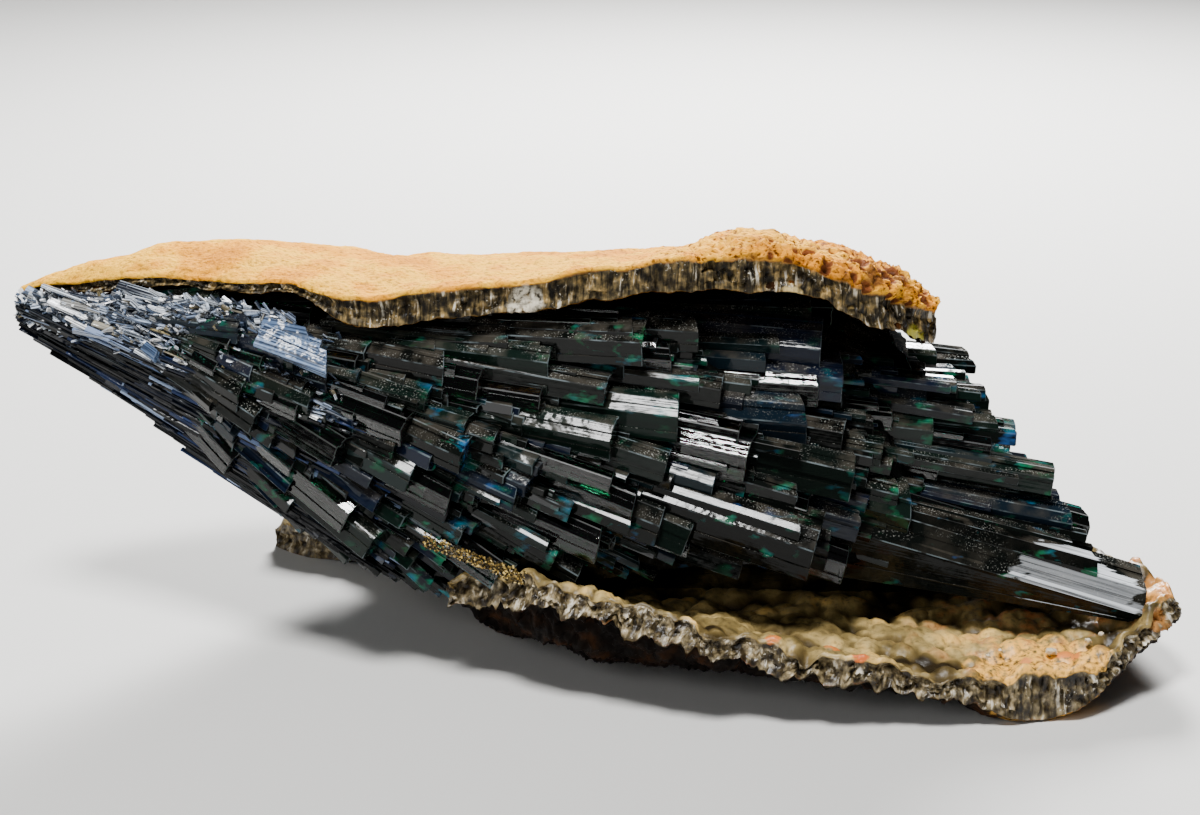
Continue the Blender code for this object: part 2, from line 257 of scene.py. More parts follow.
@dataclass(frozen=True)
class Spot:
    """A patch of another colour: centre, radius, colour, if in grains, and if on the break."""

    place: Place
    radius: float
    colour: str
    mottled: bool = False
    on_break: bool = False

    def away(self, add: Adder) -> NodeSocket:
        """Return the distance from the spot's centre, in metres."""
        return add(Knot.DISTANCE, add(Knot.PLACE), in_frame(self.place))


@dataclass(frozen=True)
class CrustFinish(Finish):
    """Iron-rich mineral crust: dry grainy growth side, glassy fibrous break, rusty underside.

    Columns of crystal cross the break, with painted glints here and there where they would
    catch the light, and a skin of the growth side's sand hangs over it. The rusty underside is
    darkened almost to black as painted shade. A cover is the pair of noise values between which
    a patch fades in.
    """

    growth: Stops = ()
    grains: Stops = ()
    broken: Stops = ()
    stain: Stops = ()
    # Pits: rusty at the rim, dark towards the bottom as painted shade.
    pit: Stops = ((0.0, "#d9a050"), (0.3, "#7a4420"), (1.0, "#260f06"))
    # Underside: its own rusty colour, darkened almost to black as painted shade.
    underside: Stops = ((0.38, "#120a05"), (0.54, "#2c190b"), (0.7, "#5c3616"))
    skin: str = "#a9773c"
    rim: str = "#6e542a"
    # Colour of the painted glints on the break.
    glint: str = "#cfc8b8"
    spots: tuple[Spot, ...] = ()
    growth_roughness: float = 0.9
    break_roughness: float = 0.3
    shine: float = 0.2
    under_shine: float = 0.03
    growth_blotch: float = 9
    grain_size: float = 0.7
    grain_relief: float = 1.0
    relief_depth: float = 0.6
    grain_share: float = 0.75
    rough_grain_share: float = 0.75
    rough_from: Range = (-4, 16)
    stained_from: Range = (8, 32)
    stain_blotch: float = 4
    stain_cover: Range = (0.5, 0.64)
    pit_cover: Range = (0.05, 0.3)
    columnar: float = 0.6
    column_width: float = 0.9
    column_drop: float = 1.3
    block_size: float = 1.5
    glinting: Range = (0.6, 0.67)
    glint_size: float = 0.45
    glint_cover: Range = (0.63, 0.7)
    glint_patch: float = 3
    glint_patch_cover: Range = (0.5, 0.6)
    level_wave: float = 2.2
    level_wander: float = 0.3
    skin_cover: Range = (0.26, 0.16)
    rim_cover: Range = (1.14, 1.22)
    under_blotch: float = 3
    spot_wave: float = 1.5
    spot_cover: Range = (1.55, 1.3)
    spot_grain: Range = (0.34, 0.35)
    mottled_grain: Range = (0.34, 0.56)
    off_break: Range = (1.0, 0.2)

    def growth_colour(self, add: Adder, grain: NodeSocket) -> NodeSocket:
        """Return the growth side's colour.

        Args:
            add: adds a node to the material's tree.
            grain: the sand-size noise.

        Returns:
            The colour's socket.
        """
        along = add(Knot.GET_X, add(Knot.PLACE))
        rough, stained = ([value * MM for value in ends]
                          for ends in (self.rough_from, self.stained_from))
        colour = add(Knot.RAMP, self.pattern(add, self.growth_blotch, 5), stops=self.growth)
        share = add(Knot.RANGE, along, *rough, self.grain_share, self.rough_grain_share)
        colour = add(Knot.MIX, share, colour, add(Knot.RAMP, grain, stops=self.grains),
                     blend_type="MULTIPLY")
        share = add(Knot.TIMES, add(Knot.RANGE, along, *stained),
                    self.pattern(add, self.stain_blotch, 6, cover=self.stain_cover))
        colour = add(Knot.MIX, share, colour, add(Knot.RAMP, grain, stops=self.stain))
        # Painted shade: the colour darkens with the depth of a pit, or of a hollow between the
        # dish's balls.
        pit = add(Knot.ATTRIBUTE, attribute_name="pit")
        return add(Knot.MIX, add(Knot.RANGE, pit, *self.pit_cover), colour,
                   add(Knot.RAMP, pit, stops=self.pit))

    def broken_colour(self, add: Adder, level: NodeSocket, columns: NodeSocket) -> NodeSocket:
        """Return the break's colour: columns across it, painted glints, a skin and a lower rim.

        Args:
            add: adds a node to the material's tree.
            level: share of the way down the break.
            columns: the noise drawn out along the columns.

        Returns:
            The colour's socket.
        """
        blocks = self.pattern(add, self.block_size, 5)
        shade = add(Knot.PLUS, add(Knot.TIMES, columns, self.columnar),
                    add(Knot.TIMES, blocks, 1 - self.columnar))
        colour = add(Knot.RAMP, shade, stops=self.broken)
        # Painted glints: near-white flecks and bright column streaks where the break would catch
        # the light.
        glints = add(Knot.LARGER, self.pattern(add, self.glint_size, 2, cover=self.glint_cover),
                     add(Knot.RANGE, columns, *self.glinting))
        where = self.pattern(add, self.glint_patch, cover=self.glint_patch_cover)
        colour = add(Knot.MIX, add(Knot.TIMES, glints, where), colour, self.glint)
        wander = add(Knot.TIMES, self.pattern(add, self.level_wave, 4), self.level_wander)
        level = add(Knot.PLUS, level, wander)
        for cover, end in ((self.skin_cover, self.skin), (self.rim_cover, self.rim)):
            share = add(Knot.RANGE, level, *cover)
            colour = add(Knot.MIX, share, colour, end)
        return colour

    def spotted(self, add: Adder, grain: NodeSocket, edge: NodeSocket,
                colour: NodeSocket) -> NodeSocket:
        """Return the colour with the spots on it.

        Args:
            add: adds a node to the material's tree.
            grain: the sand-size noise.
            edge: 1 on the break, 0 elsewhere.
            colour: the colour under the spots.

        Returns:
            The colour's socket.
        """
        wander = self.pattern(add, self.spot_wave, 4)
        for spot in self.spots:
            away = add(Knot.OVER, spot.away(add), spot.radius * MM)
            away = add(Knot.PLUS, away, wander)
            grains = self.mottled_grain if spot.mottled else self.spot_grain
            share = add(Knot.TIMES, add(Knot.RANGE, away, *self.spot_cover),
                        add(Knot.RANGE, grain, *grains))
            if spot.mottled and not spot.on_break:
                share = add(Knot.TIMES, share, add(Knot.RANGE, edge, *self.off_break))
            colour = add(Knot.MIX, share, colour, spot.colour)
        return colour

    def make(self) -> Material:
        """Make the material.

        Returns:
            The finished material.
        """
        material, add, shader = self.start()
        walk, level, edge, under = (add(Knot.ATTRIBUTE, attribute_name=name)
                                    for name in ("walk", "level", "edge", "under"))
        grain = self.pattern(add, self.grain_size, 4)
        drawn = add(Knot.STRETCH, add(Knot.JOIN, walk, level),
                    (1 / self.column_width, self.column_drop, 1))
        columns = add(Knot.NOISE, drawn, 1.0, 4.0, 0.6)
        colour = add(Knot.MIX, edge, self.growth_colour(add, grain),
                     self.broken_colour(add, level, columns))
        # Painted shade: the underside's rusty colour, kept dark as if in shadow.
        shaded_rust = add(Knot.RAMP, self.pattern(add, self.under_blotch, 6), stops=self.underside)
        colour = add(Knot.MIX, under, colour, shaded_rust)
        sand = add(Knot.TIMES, grain, self.grain_relief)
        facets = add(Knot.MIX_VALUES, edge, sand, columns)
        feed(shader, {
            "Base Color": self.spotted(add, grain, edge, colour),
            "Specular IOR Level": add(Knot.RANGE, under, 0, 1, self.shine, self.under_shine),
            "Roughness": add(Knot.RANGE, edge, 0, 1, self.growth_roughness,
                             self.break_roughness),
            "Normal": add(Knot.BUMP, facets, self.relief_depth * MM, 1.0)})
        return material


@dataclass(frozen=True)
class CrystalFinish(Finish):
    """Vivianite: glassy dark crystal; its green to blue depth at thin places is a painted glow.

    The smooth faces mirror the light almost whole at a low angle, fine lines along them come from
    growth, their worn edges are pale, partly from wear and partly as a painted highlight where an
    edge catches the light, and dust lies on the faces that look up. A cover is the pair of noise
    values between which a patch fades in.
    """

    colours: Stops = ()
    roughness: float = 0.06
    worn_roughness: float = 0.5
    transmission: float = 0.0
    absorption: str = "#12b878"
    density: float = 0.0
    ior: float = 1.6
    shine: float = 0.14
    line_depth: float = 0.18
    line_spacing: Range = (2.6, 0.05)
    bump_depth: float = 0.1
    wave: float = 2.5
    waviness: float = 4.0
    dust: float = 0.6
    film: str = "#3d3932"
    film_blotch: float = 4
    film_cover: Range = (0.44, 0.6)
    film_roughness: float = 0.22
    speck: str = "#a3a39c"
    speck_size: float = 0.24
    speck_cover: Range = (0.6, 0.7)
    smear: float = 2.6
    smear_cover: Range = (0.44, 0.62)
    facing_up: Range = (0.42, 0.82)
    glow: float = 0.7
    glow_colours: Stops = ((0.38, "#0f6a38"), (0.5, "#149468"), (0.58, "#127a86"), (0.67, "#24528a"))
    depth_blotch: float = 7
    glow_blotch: float = 1.9
    glow_cover: Range = (0.65, 0.83)
    glow_patch: float = 14
    glow_patch_cover: Range = (0.44, 0.6)
    near_tip: Range = (16, 0)
    tip_glow: float = 0.12
    # Share of the pale worn-edge colour: partly wear, partly painted highlight.
    wear: float = 0.45
    worn_edge_glint: str = "#6f7c80"
    worn_patch: float = 3
    worn_cover: Range = (0.5, 0.62)
    cleaved: tuple[Spot, ...] = ()
    jags: float = 1.6
    jag_depth: float = 10
    jag_cover: Range = (5.3, 4.7)
    bare_up: Range = (0.5, 0.66)
    bare_lines: Range = (0.3, 0.5)
    streak: str = ""
    streak_cover: Range = (0.56, 0.44)

    def glowing(self, add: Adder, along: NodeSocket, colour: NodeSocket) -> NodeSocket:
        """Return the colour with painted green to blue glow in blotches, most near the tips.

        Args:
            add: adds a node to the material's tree.
            along: distance from the crystal's tip.
            colour: the colour under them.

        Returns:
            The colour's socket.
        """
        # Painted glow: green to blue blotches of light seen through the crystal, most near the
        # tips.
        glow_colours = add(Knot.RAMP, self.pattern(add, self.depth_blotch, 2), stops=self.glow_colours)
        near_tip = add(Knot.RANGE, along, *self.near_tip)
        blots = add(Knot.PLUS, self.pattern(add, self.glow_blotch, 3, (0.5, 1, 1)),
                    add(Knot.TIMES, near_tip, self.tip_glow))
        share = add(Knot.TIMES, add(Knot.RANGE, blots, *self.glow_cover),
                    self.pattern(add, self.glow_patch, 2, cover=self.glow_patch_cover))
        share = add(Knot.TIMES, share, self.glow)
        return add(Knot.MIX, share, colour, glow_colours)

    def bared(self, add: Adder, up: NodeSocket, lines: NodeSocket,
              colour: NodeSocket) -> NodeSocket:
        """Return the colour with pale silky streaks where a layer has split off a top face.

        Args:
            add: adds a node to the material's tree.
            up: how far the face looks up.
            lines: the noise drawn out along the crystal.
            colour: the colour under them.

        Returns:
            The colour's socket.
        """
        up = add(Knot.RANGE, up, *self.bare_up)
        streaks = add(Knot.RANGE, lines, *self.bare_lines)
        for spot in self.cleaved:
            jagged = add(Knot.TIMES, self.pattern(add, self.jags, 3, (0.3, 1, 1)),
                         self.jag_depth * MM)
            away = add(Knot.PLUS, spot.away(add), jagged)
            near = add(Knot.RANGE, away, *((spot.radius + reach) * MM for reach in self.jag_cover))
            share = add(Knot.TIMES, add(Knot.TIMES, near, up), streaks)
            colour = add(Knot.MIX, share, colour, spot.colour)
        return colour

    def dusted(self, add: Adder, up: NodeSocket, worn: NodeSocket,
               colour: NodeSocket) -> tuple[NodeSocket, NodeSocket]:
        """Lay a thin film and pale specks on the faces that look up.

        Args:
            add: adds a node to the material's tree.
            up: how far the face looks up.
            worn: 1 on a worn edge, 0 elsewhere.
            colour: the colour under them.

        Returns:
            The dusted colour, and how dull it is.
        """
        up = add(Knot.TIMES, add(Knot.RANGE, up, *self.facing_up), self.dust)
        film = add(Knot.TIMES, self.pattern(add, self.film_blotch, 5, cover=self.film_cover), up)
        fine = self.pattern(add, self.speck_size, 1, cover=self.speck_cover)
        smear = self.pattern(add, self.smear, 3, (0.35, 1, 1), self.smear_cover)
        specks = add(Knot.TIMES, add(Knot.TIMES, fine, smear), up)
        colour = add(Knot.MIX, film, colour, self.film)
        colour = add(Knot.MIX, specks, colour, self.speck)
        dull = add(Knot.LARGER, add(Knot.TIMES, film, self.film_roughness), specks)
        return colour, add(Knot.LARGER, worn, dull)

    def make(self) -> Material:
        """Make the material.

        Returns:
            The finished material.
        """
        material, add, shader = self.start()
        tone, worn, around, along = (add(Knot.ATTRIBUTE, attribute_name=name)
                                     for name in ("tone", "worn", "around", "along"))
        up = add(Knot.GET_Z, add(Knot.NORMAL))
        colour, rough = add(Knot.RAMP, tone, stops=self.colours), worn
        if self.glow:
            colour = self.glowing(add, along, colour)
        if self.dust:
            colour, rough = self.dusted(add, up, worn, colour)
        # Worn edges painted pale: partly wear, partly a painted highlight where an edge catches
        # the light.
        rubbed_and_glinting = add(Knot.TIMES, worn, self.pattern(add, self.worn_patch, cover=self.worn_cover))
        colour = add(Knot.MIX, add(Knot.TIMES, rubbed_and_glinting, self.wear), colour, self.worn_edge_glint)
        drawn = add(Knot.STRETCH, add(Knot.JOIN, around, along), (*self.line_spacing, 1))
        lines = add(Knot.NOISE, drawn, 1.0, 3.0)
        if self.cleaved:
            colour = self.bared(add, up, lines, colour)
        if self.streak:
            share = add(Knot.RANGE, lines, *self.streak_cover)
            colour = add(Knot.MIX, share, colour, self.streak)
        waves = add(Knot.TIMES, self.pattern(add, self.wave, 2), self.waviness)
        height = add(Knot.PLUS, lines, waves)
        feed(shader, {
            "Base Color": colour, "IOR": self.ior, "Specular IOR Level": self.shine,
            "Transmission Weight": self.transmission,
            "Roughness": add(Knot.RANGE, rough, 0, 1, self.roughness, self.worn_roughness),
            "Normal": add(Knot.BUMP, height, self.bump_depth * MM, self.line_depth)})
        if self.density:
            inside = add(Knot.ABSORB, self.absorption, self.density)
            feed(material.node_tree.nodes["Material Output"], {"Volume": inside})
        return material


DARK_TONES = ((0.0, "#060706"), (0.4, "#0a0d0b"), (0.7, "#0a1813"), (0.85, "#0b1324"),
              (1.0, "#131517"))
CLEAVED_TONES = ((0.0, "#3c4c66"), (0.5, "#667d9f"), (1.0, "#9db2cf"))
# Navy blades; the pale end of the ramp is a painted glint on a blade here and there.
NAVY_GLINT_TONES = ((0.0, "#020304"), (0.5, "#04060a"), (0.78, "#0b1222"), (0.92, "#24365e"),
              (1.0, "#96a8c6"))
PEARL_TONES = ((0.0, "#12171f"), (0.2, "#364356"), (0.4, "#7686a0"), (0.5, "#8f7f50"),
               (0.6, "#a2b4d0"), (0.78, "#e0e9f3"), (1.0, "#ffffff"))
FROST_TONES = ((0.0, "#2c333c"), (0.3, "#92a0ac"), (0.6, "#e0e6ec"), (1.0, "#ffffff"))
DRUSE_TONES = ((0.0, "#0d0b06"), (0.5, "#3a2f18"), (0.8, "#8a7038"), (1.0, "#d8bc70"))
CLEAR_TONES = ((0.0, "#2a7a5e"), (0.5, "#379070"), (1.0, "#2f6f90"))


def spline(points: Row, fraction: np.ndarray) -> np.ndarray:
    """Return points along a smooth curve.

    Args:
        points: the curve's own points.
        fraction: places along it, 0 to 1.

    Returns:
        One row of x, y, z for each place.
    """
    knots = np.array(points, float)
    place = fraction * (len(knots) - 1)
    index = np.clip(place.astype(int), 0, len(knots) - 2)
    step = (place - index)[:, None]
    before = knots[np.clip(index - 1, 0, None)]
    start, end = knots[index], knots[index + 1]
    after = knots[np.clip(index + 2, None, len(knots) - 1)]
    return 0.5 * (2 * start + (end - before) * step
                  + (2 * before - 5 * start + 4 * end - after) * step ** 2
                  + (3 * start - before - 3 * end + after) * step ** 3)


def sampled(function: Callable[[Vector], float], points: np.ndarray) -> np.ndarray:
    """Return a function's value at each point."""
    return np.array([function(Vector(point)) for point in points])


def smooth(value: np.ndarray | float, low: float, high: float) -> np.ndarray | float:
    """Return a smooth step from 0 at low to 1 at high."""
    share = np.clip((value - low) / (high - low), 0.0, 1.0)
    return share * share * (3 - 2 * share)


def unit(vectors: np.ndarray) -> np.ndarray:
    """Return the vectors at length 1."""
    return vectors / np.maximum(np.linalg.norm(vectors, axis=-1, keepdims=True), 1e-9)


def make_object(name: str, mesh: Mesh, material: Material) -> Object:
    """Put a mesh in the scene.

    Args:
        name: the object's name.
        mesh: its mesh.
        material: its finish.

    Returns:
        The object.
    """
    mesh.materials.clear()
    mesh.materials.append(material)
    item = bpy.data.objects.new(name, mesh)
    bpy.context.scene.collection.objects.link(item)
    return item


def store(mesh: Mesh, name: str, values: np.ndarray | list[float],
          domain: str = "POINT") -> None:
    """Store one number for each vertex or face under an attribute name."""
    mesh.attributes.new(name, "FLOAT", domain).data.foreach_set(
        "value", np.asarray(values, np.float32))


@contextmanager
def edited(mesh: Mesh) -> Iterator[bmesh.types.BMesh]:
    """Open a mesh for editing, and put it back afterwards.

    Args:
        mesh: the mesh.

    Yields:
        The mesh as one that can be edited.
    """
    work = bmesh.new()
    work.from_mesh(mesh)
    yield work
    work.to_mesh(mesh)
    work.free()


def grid_faces(rows: int, steps: int, closed: bool = False) -> list[tuple[int, ...]]:
    """Return the faces between rows of points that lie one after another.

    Args:
        rows: how many rows there are.
        steps: points in one row.
        closed: whether the last row joins the first.

    Returns:
        The faces, each as four places in the list of points.
    """
    return [(r * steps + i, r * steps + i + 1, (r + 1) % rows * steps + i + 1,
             (r + 1) % rows * steps + i)
            for r in range(rows if closed else rows - 1) for i in range(steps - 1)]


@dataclass
class CrustPlate:
    """A plate of crust: an arched sheet with a relief, and a broken edge of upright fibres."""

    name: str
    node: str
    slot: str
    front: Row
    middle: Row
    back: Row
    thickness: Profile
    relief: Relief
    finish: CrustFinish
    feet: tuple[Range, ...] = ()
    foot_flat: float = 6.5
    foot_blend: float = 14.0
    steps_along: int = 350
    steps_across: int = 110
    steps_edge: int = 14
    edge_crowding: float = 0.7
    nudge: float = 0.004
    lump_height: float = 0.7
    lump_size: float = 7.0
    sand_size: float = 1.1
    sand_height: float = 0.13
    crumbly_sand: float = 0.25
    crumb_size: float = 1.7
    crumb_depth: float = 0.9
    clod_size: float = 3.0
    clod_height: float = 0.6
    crumbly_lift: float = 0.3
    ripple_size: float = 2.4
    ripple_height: float = 0.25
    pit_sizes: Profile = ((4.6, 0.35), (2.3, 0.55))
    pit_width: float = 0.42
    pit_depth: float = 1.2
    balls: Profile = ((7.0, 2.2), (2.9, 1.9), (1.1, 0.3))
    ball_lift: float = 0.9
    between_small: Range = (0.5, 1.0)
    between_large: Range = (0.55, 0.95)
    small_darkness: float = 0.7
    ragged_share: float = 0.032
    ragged_waves: float = 13
    left_end: tuple[float, float, float, float] | None = None
    rim_thickness: float | None = None
    rim_reach: float = 0.13
    rim_waviness: float = 0.0
    rim_wave: float = 5
    under_roughness: float = 0.35
    under_grain: float = 2.0
    lip: float = 0.8
    lip_share: float = 0.4
    straight_down: bool = False
    rim_lump: float = 0.0
    knob_size: float = 5.2
    knob_steepness: float = 2.6
    knobs_fade: Range = (1, 9)
    crumbles_from: Range = (2, 26)
    pitted_from: Range = (12, 36)
    fibre_width: float = 0.5
    fibre_depth: float = 1.3
    edge_depth: float = 0.3
    fibre_share: float = 0.18
    block_share: float = 0.4
    wave_share: float = 0.5
    edge_roughness: float = 0.16
    edge_hollow: float = 3.5
    block_width: float = 2.3
    wave_length: float = 6.0
    chip_size: float = 0.8
    sharp_from_degrees: float = 50

    def sheet(self, along: np.ndarray, across: np.ndarray) -> np.ndarray:
        """Lay the arched sheet through the front, middle and back lines.

        Args:
            along: shares along it.
            across: as many shares across it.

        Returns:
            One point for each.
        """
        front, middle, back = (spline(row, along) for row in (self.front, self.middle, self.back))
        v = across[:, None]
        return front * (1 - v) * (1 - 2 * v) + middle * 4 * v * (1 - v) + back * v * (2 * v - 1)

    def ragged(self, along: float, side: int) -> float:
        """Return how far the broken edge steps in at a share along the plate."""
        point = Vector((along * self.ragged_waves, side, 0))
        return self.ragged_share * (1 + noise.noise(point))

    def start(self, across: float) -> float:
        """Find where the plate starts, most at a rounded back corner.

        Args:
            across: share across the plate.

        Returns:
            The share along it.
        """
        if not self.left_end:
            return 0.0
        ragged, waves, corner, corner_from = self.left_end
        wave = noise.noise(Vector((across * waves, 9, 0)))
        return ragged * (1 + wave) + corner * float(smooth(across, corner_from, 1))

    def pit(self, point: Vector) -> float:
        """Tell how deep a point lies in one of the pits.

        Args:
            point: a point of the growth side.

        Returns:
            Its depth, 0 to 1.
        """
        if self.relief is Relief.BOTRYOIDAL:
            large, small = (noise.voronoi(point / size)[0][0] for size, _ in self.balls[:2])
            return float(max(self.small_darkness * smooth(small, *self.between_small),
                             smooth(large, *self.between_large)))
        if point.x < self.pitted_from[0]:
            return 0.0
        deepest = 0.0
        for size, share in self.pit_sizes:
            away, centres = noise.voronoi(point / size)
            if noise.cell(centres[0] * 7.3) < share:
                deepest = max(deepest, 1 - (away[0] / self.pit_width) ** 2)
        return smooth(point.x, *self.pitted_from) * deepest

    def growth_relief(self, point: Vector) -> float:
        """Work out the relief of the growth side.

        Args:
            point: a point of the sheet.

        Returns:
            Its height above the sheet.
        """
        lump = self.lump_height * noise.noise(point / self.lump_size)
        if self.relief is Relief.GRANULAR:
            crumbly = smooth(point.x, *self.crumbles_from)
            sand = self.sand_height + self.crumbly_sand * crumbly
            sand *= noise.fractal(point / self.sand_size, 0.6, 2.2, 4)
            clods = self.clod_height * noise.fractal(point / self.clod_size, 0.7, 2.2, 4)
            crumbs = self.crumb_depth * noise.voronoi(point / self.crumb_size)[0][0] ** 2
            ripple = self.ripple_height * noise.noise(point / self.ripple_size)
            return (lump + crumbly * (clods - crumbs + self.crumbly_lift) + sand + ripple
                    - self.pit_depth * self.pit(point))
        dents = sum(depth * noise.voronoi(point / size)[0][0] ** 2 for size, depth in self.balls)
        return lump - dents + self.ball_lift

    def underside_relief(self, point: Vector) -> float:
        """Return the underside's height at a point."""
        lump = self.lump_height * noise.noise(point / self.lump_size)
        return lump + self.under_roughness * noise.fractal(point / self.under_grain, 0.7, 2.1, 4)

    def stand(self, points: np.ndarray) -> np.ndarray:
        """Lower the underside to the ground near each foot, and keep it above it.

        Args:
            points: the underside's points.

        Returns:
            The same points, moved.
        """
        for x, y in self.feet:
            away = np.hypot(points[:, 0] - x, points[:, 1] - y)
            points[:, 2] *= smooth(away, self.foot_flat, self.foot_blend)
        points[:, 2] = np.maximum(points[:, 2], 0)
        return points

    def thick(self, sheet: np.ndarray, share: np.ndarray) -> np.ndarray:
        """Return the plate's thickness, which may be less at the front rim.

        Args:
            sheet: the sheet's points.
            share: their shares across the plate.

        Returns:
            One thickness for each point.
        """
        places, sizes = zip(*self.thickness)
        full = np.interp(sheet[:, 0], places, sizes)
        if self.rim_thickness is None:
            return full
        waves = sampled(lambda p: noise.fractal(p / self.rim_wave, 0.6, 2.1, 3), sheet)
        rim = np.minimum(full, self.rim_thickness * (1 + self.rim_waviness * waves))
        return rim + (full - rim) * smooth(share, 0, self.rim_reach)

    @staticmethod
    def from_rim(grid: np.ndarray) -> np.ndarray:
        """Measure how far the sheet reaches in from its rim.

        Args:
            grid: the sheet's points.

        Returns:
            Each point's distance along the sheet to the nearest rim.
        """
        found = []
        for axis in (0, 1):
            steps = np.linalg.norm(np.diff(grid, axis=axis), axis=2)
            walked = np.cumsum(steps, axis=axis)
            pad = [(1, 0) if n == axis else (0, 0) for n in (0, 1)]
            walked = np.pad(walked, pad)
            found += [walked, walked.max(axis=axis, keepdims=True) - walked]
        return np.minimum.reduce(found)

    def grids(self) -> tuple[np.ndarray, np.ndarray, np.ndarray]:
        """Work out the plate's two sides.

        Returns:
            The growth side and the underside as grids, and how pitted the first is.
        """
        count = (self.steps_along + 1, self.steps_across + 1)
        even = np.linspace(0, 1, count[1])
        crowded = even - self.edge_crowding * np.sin(2 * math.pi * even) / (2 * math.pi)
        step = np.repeat(np.linspace(0, 1, count[0]), count[1])
        share = np.tile(crowded, count[0])
        front = np.repeat([self.ragged(a, 0) for a in np.linspace(0, 1, count[0])], count[1])
        back = np.repeat([1 - self.ragged(a, 1) for a in np.linspace(0, 1, count[0])], count[1])
        across = front + (back - front) * share
        start = np.array([self.start(v) for v in across])
        along = start + (1 - start) * step
        sheet = self.sheet(along, across)
        over = (self.sheet(np.minimum(along + self.nudge, 1), across)
                - self.sheet(np.maximum(along - self.nudge, 0), across))
        up = (self.sheet(along, np.minimum(across + self.nudge, 1))
              - self.sheet(along, np.maximum(across - self.nudge, 0)))
        normal = unit(np.cross(over, up))
        thick = self.thick(sheet, share)
        reach = self.from_rim(sheet.reshape(*count, 3)).ravel()
        lip = np.minimum(self.lip, self.lip_share * thick)
        drop = lip * (1 - np.sqrt(1 - (1 - np.clip(reach / lip, 0, 1)) ** 2))
        near_rim = 1 - smooth(reach, *self.knobs_fade)
        lumps = self.rim_lump * near_rim * sampled(self.knob, sheet)
        height = sampled(self.growth_relief, sheet) + lumps - drop
        top = sheet + normal * height[:, None]
        down = np.array([[0, 0, 1.0]]) if self.straight_down else normal
        bottom = sheet - down * (thick - self.lip_share * drop)[:, None]
        bottom += down * sampled(self.underside_relief, bottom)[:, None]
        bottom = self.stand(bottom)
        shape = (*count, 3)
        return top.reshape(shape), bottom.reshape(shape), sampled(self.pit, sheet)

    def knob(self, point: Vector) -> float:
        """Return the height of the round knobs along a rim, about -1 to 1."""
        return 1 - self.knob_steepness * noise.voronoi(point / self.knob_size)[0][0] ** 2

    def rim(self) -> np.ndarray:
        """Walk round the plate's edge.

        Returns:
            The grid places on it, in order.
        """
        last_i, last_j = self.steps_along, self.steps_across
        ring = [(i, 0) for i in range(last_i)] + [(last_i, j) for j in range(last_j)]
        ring += [(last_i - i, last_j) for i in range(last_i)]
        ring += [(0, last_j - j) for j in range(last_j)]
        return np.array(ring)

    def edge_wall(self, top: np.ndarray, bottom: np.ndarray) -> np.ndarray:
        """Return the broken edge's inner rows of points, fibre by fibre.

        Args:
            top: the rim's upper points in order.
            bottom: the rim's lower points in order.

        Returns:
            Rows by rim places by x, y, z, without the two outer rows.
        """
        round_rim = np.roll(top, -1, 0) - np.roll(top, 1, 0)
        outward = unit(np.cross(round_rim, np.tile([0, 0, 1.0], (len(top), 1))))
        length = np.cumsum(np.linalg.norm(np.roll(top, -1, 0) - top, axis=1))
        rows = []
        for k in range(1, self.steps_edge):
            share = k / self.steps_edge
            row = top + (bottom - top) * share
            depth = [self.fibre_step(distance, share) for distance in length]
            rows.append(row - outward * np.array(depth)[:, None])
        return np.array(rows)

    def fibre_step(self, distance: float, share: float) -> float:
        """Tell how far one fibre lies inside the edge at one height.

        Args:
            distance: way round the edge.
            share: share of the way down.

        Returns:
            The step.
        """
        lean = distance + 0.5 * noise.noise(Vector((distance / 2, share * 2, 1)))
        fibre = noise.cell(Vector((lean / self.fibre_width, 0.5, 0.5)))
        block = noise.cell(Vector((lean / self.block_width + 0.4 * share, share * 2.6, 7.5)))
        wide = noise.noise(Vector((distance / self.wave_length, share * 1.5, 3)))
        rough = noise.fractal(Vector((distance / self.chip_size, share * 5, 9)), 0.7, 2.1, 3)
        arch = min(1.0, self.edge_hollow * min(share, 1 - share))
        return self.fibre_depth * arch * (
            self.edge_depth + self.fibre_share * fibre + self.block_share * block
            + self.wave_share * wide + self.edge_roughness * rough)

    def build(self) -> Object:
        """Build the plate, dress it and hand it to the frame.

        Returns:
            The finished plate.
        """
        top, bottom, pits = self.grids()
        rows, columns = top.shape[:2]
        ring = self.rim()
        upper = top[ring[:, 0], ring[:, 1]]
        lower = bottom[ring[:, 0], ring[:, 1]]
        wall = self.edge_wall(upper, lower)
        points = np.concatenate([top.reshape(-1, 3), bottom.reshape(-1, 3), wall.reshape(-1, 3)])
        count, ring_size = rows * columns, len(ring)
        index = np.arange(count).reshape(rows, columns)
        a, b = index[:-1, :-1].ravel(), index[1:, :-1].ravel()
        c, d = index[1:, 1:].ravel(), index[:-1, 1:].ravel()
        faces = [np.stack([a, b, c, d], 1), np.stack([d, c, b, a], 1) + count]
        levels = [index[ring[:, 0], ring[:, 1]]]
        levels += [2 * count + k * ring_size + np.arange(ring_size) for k in range(len(wall))]
        levels.append(levels[0] + count)
        for high, low in zip(levels, levels[1:]):
            faces.append(np.stack([np.roll(high, -1), high, low, np.roll(low, -1)], 1))
        low_corner, high_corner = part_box(self.node)
        points = (points - np.array(PLAN_CENTRE)) * MM
        points = np.clip(points, np.array(low_corner), np.array(high_corner))
        read = {label: np.zeros(len(points))
                for label in ("edge", "under", "level", "walk", "pit")}
        walked = np.cumsum(np.linalg.norm(np.roll(upper, -1, 0) - upper, axis=1))
        for k, row in enumerate(levels):
            read["walk"][row], read["level"][row] = walked, k / (len(levels) - 1)
        read["pit"][:count] = pits
        read["under"][count:2 * count] = 1.0
        read["under"][levels[-1]] = 0.0
        read["edge"][2 * count:] = 1.0
        read["edge"][levels[-1]] = 1.0
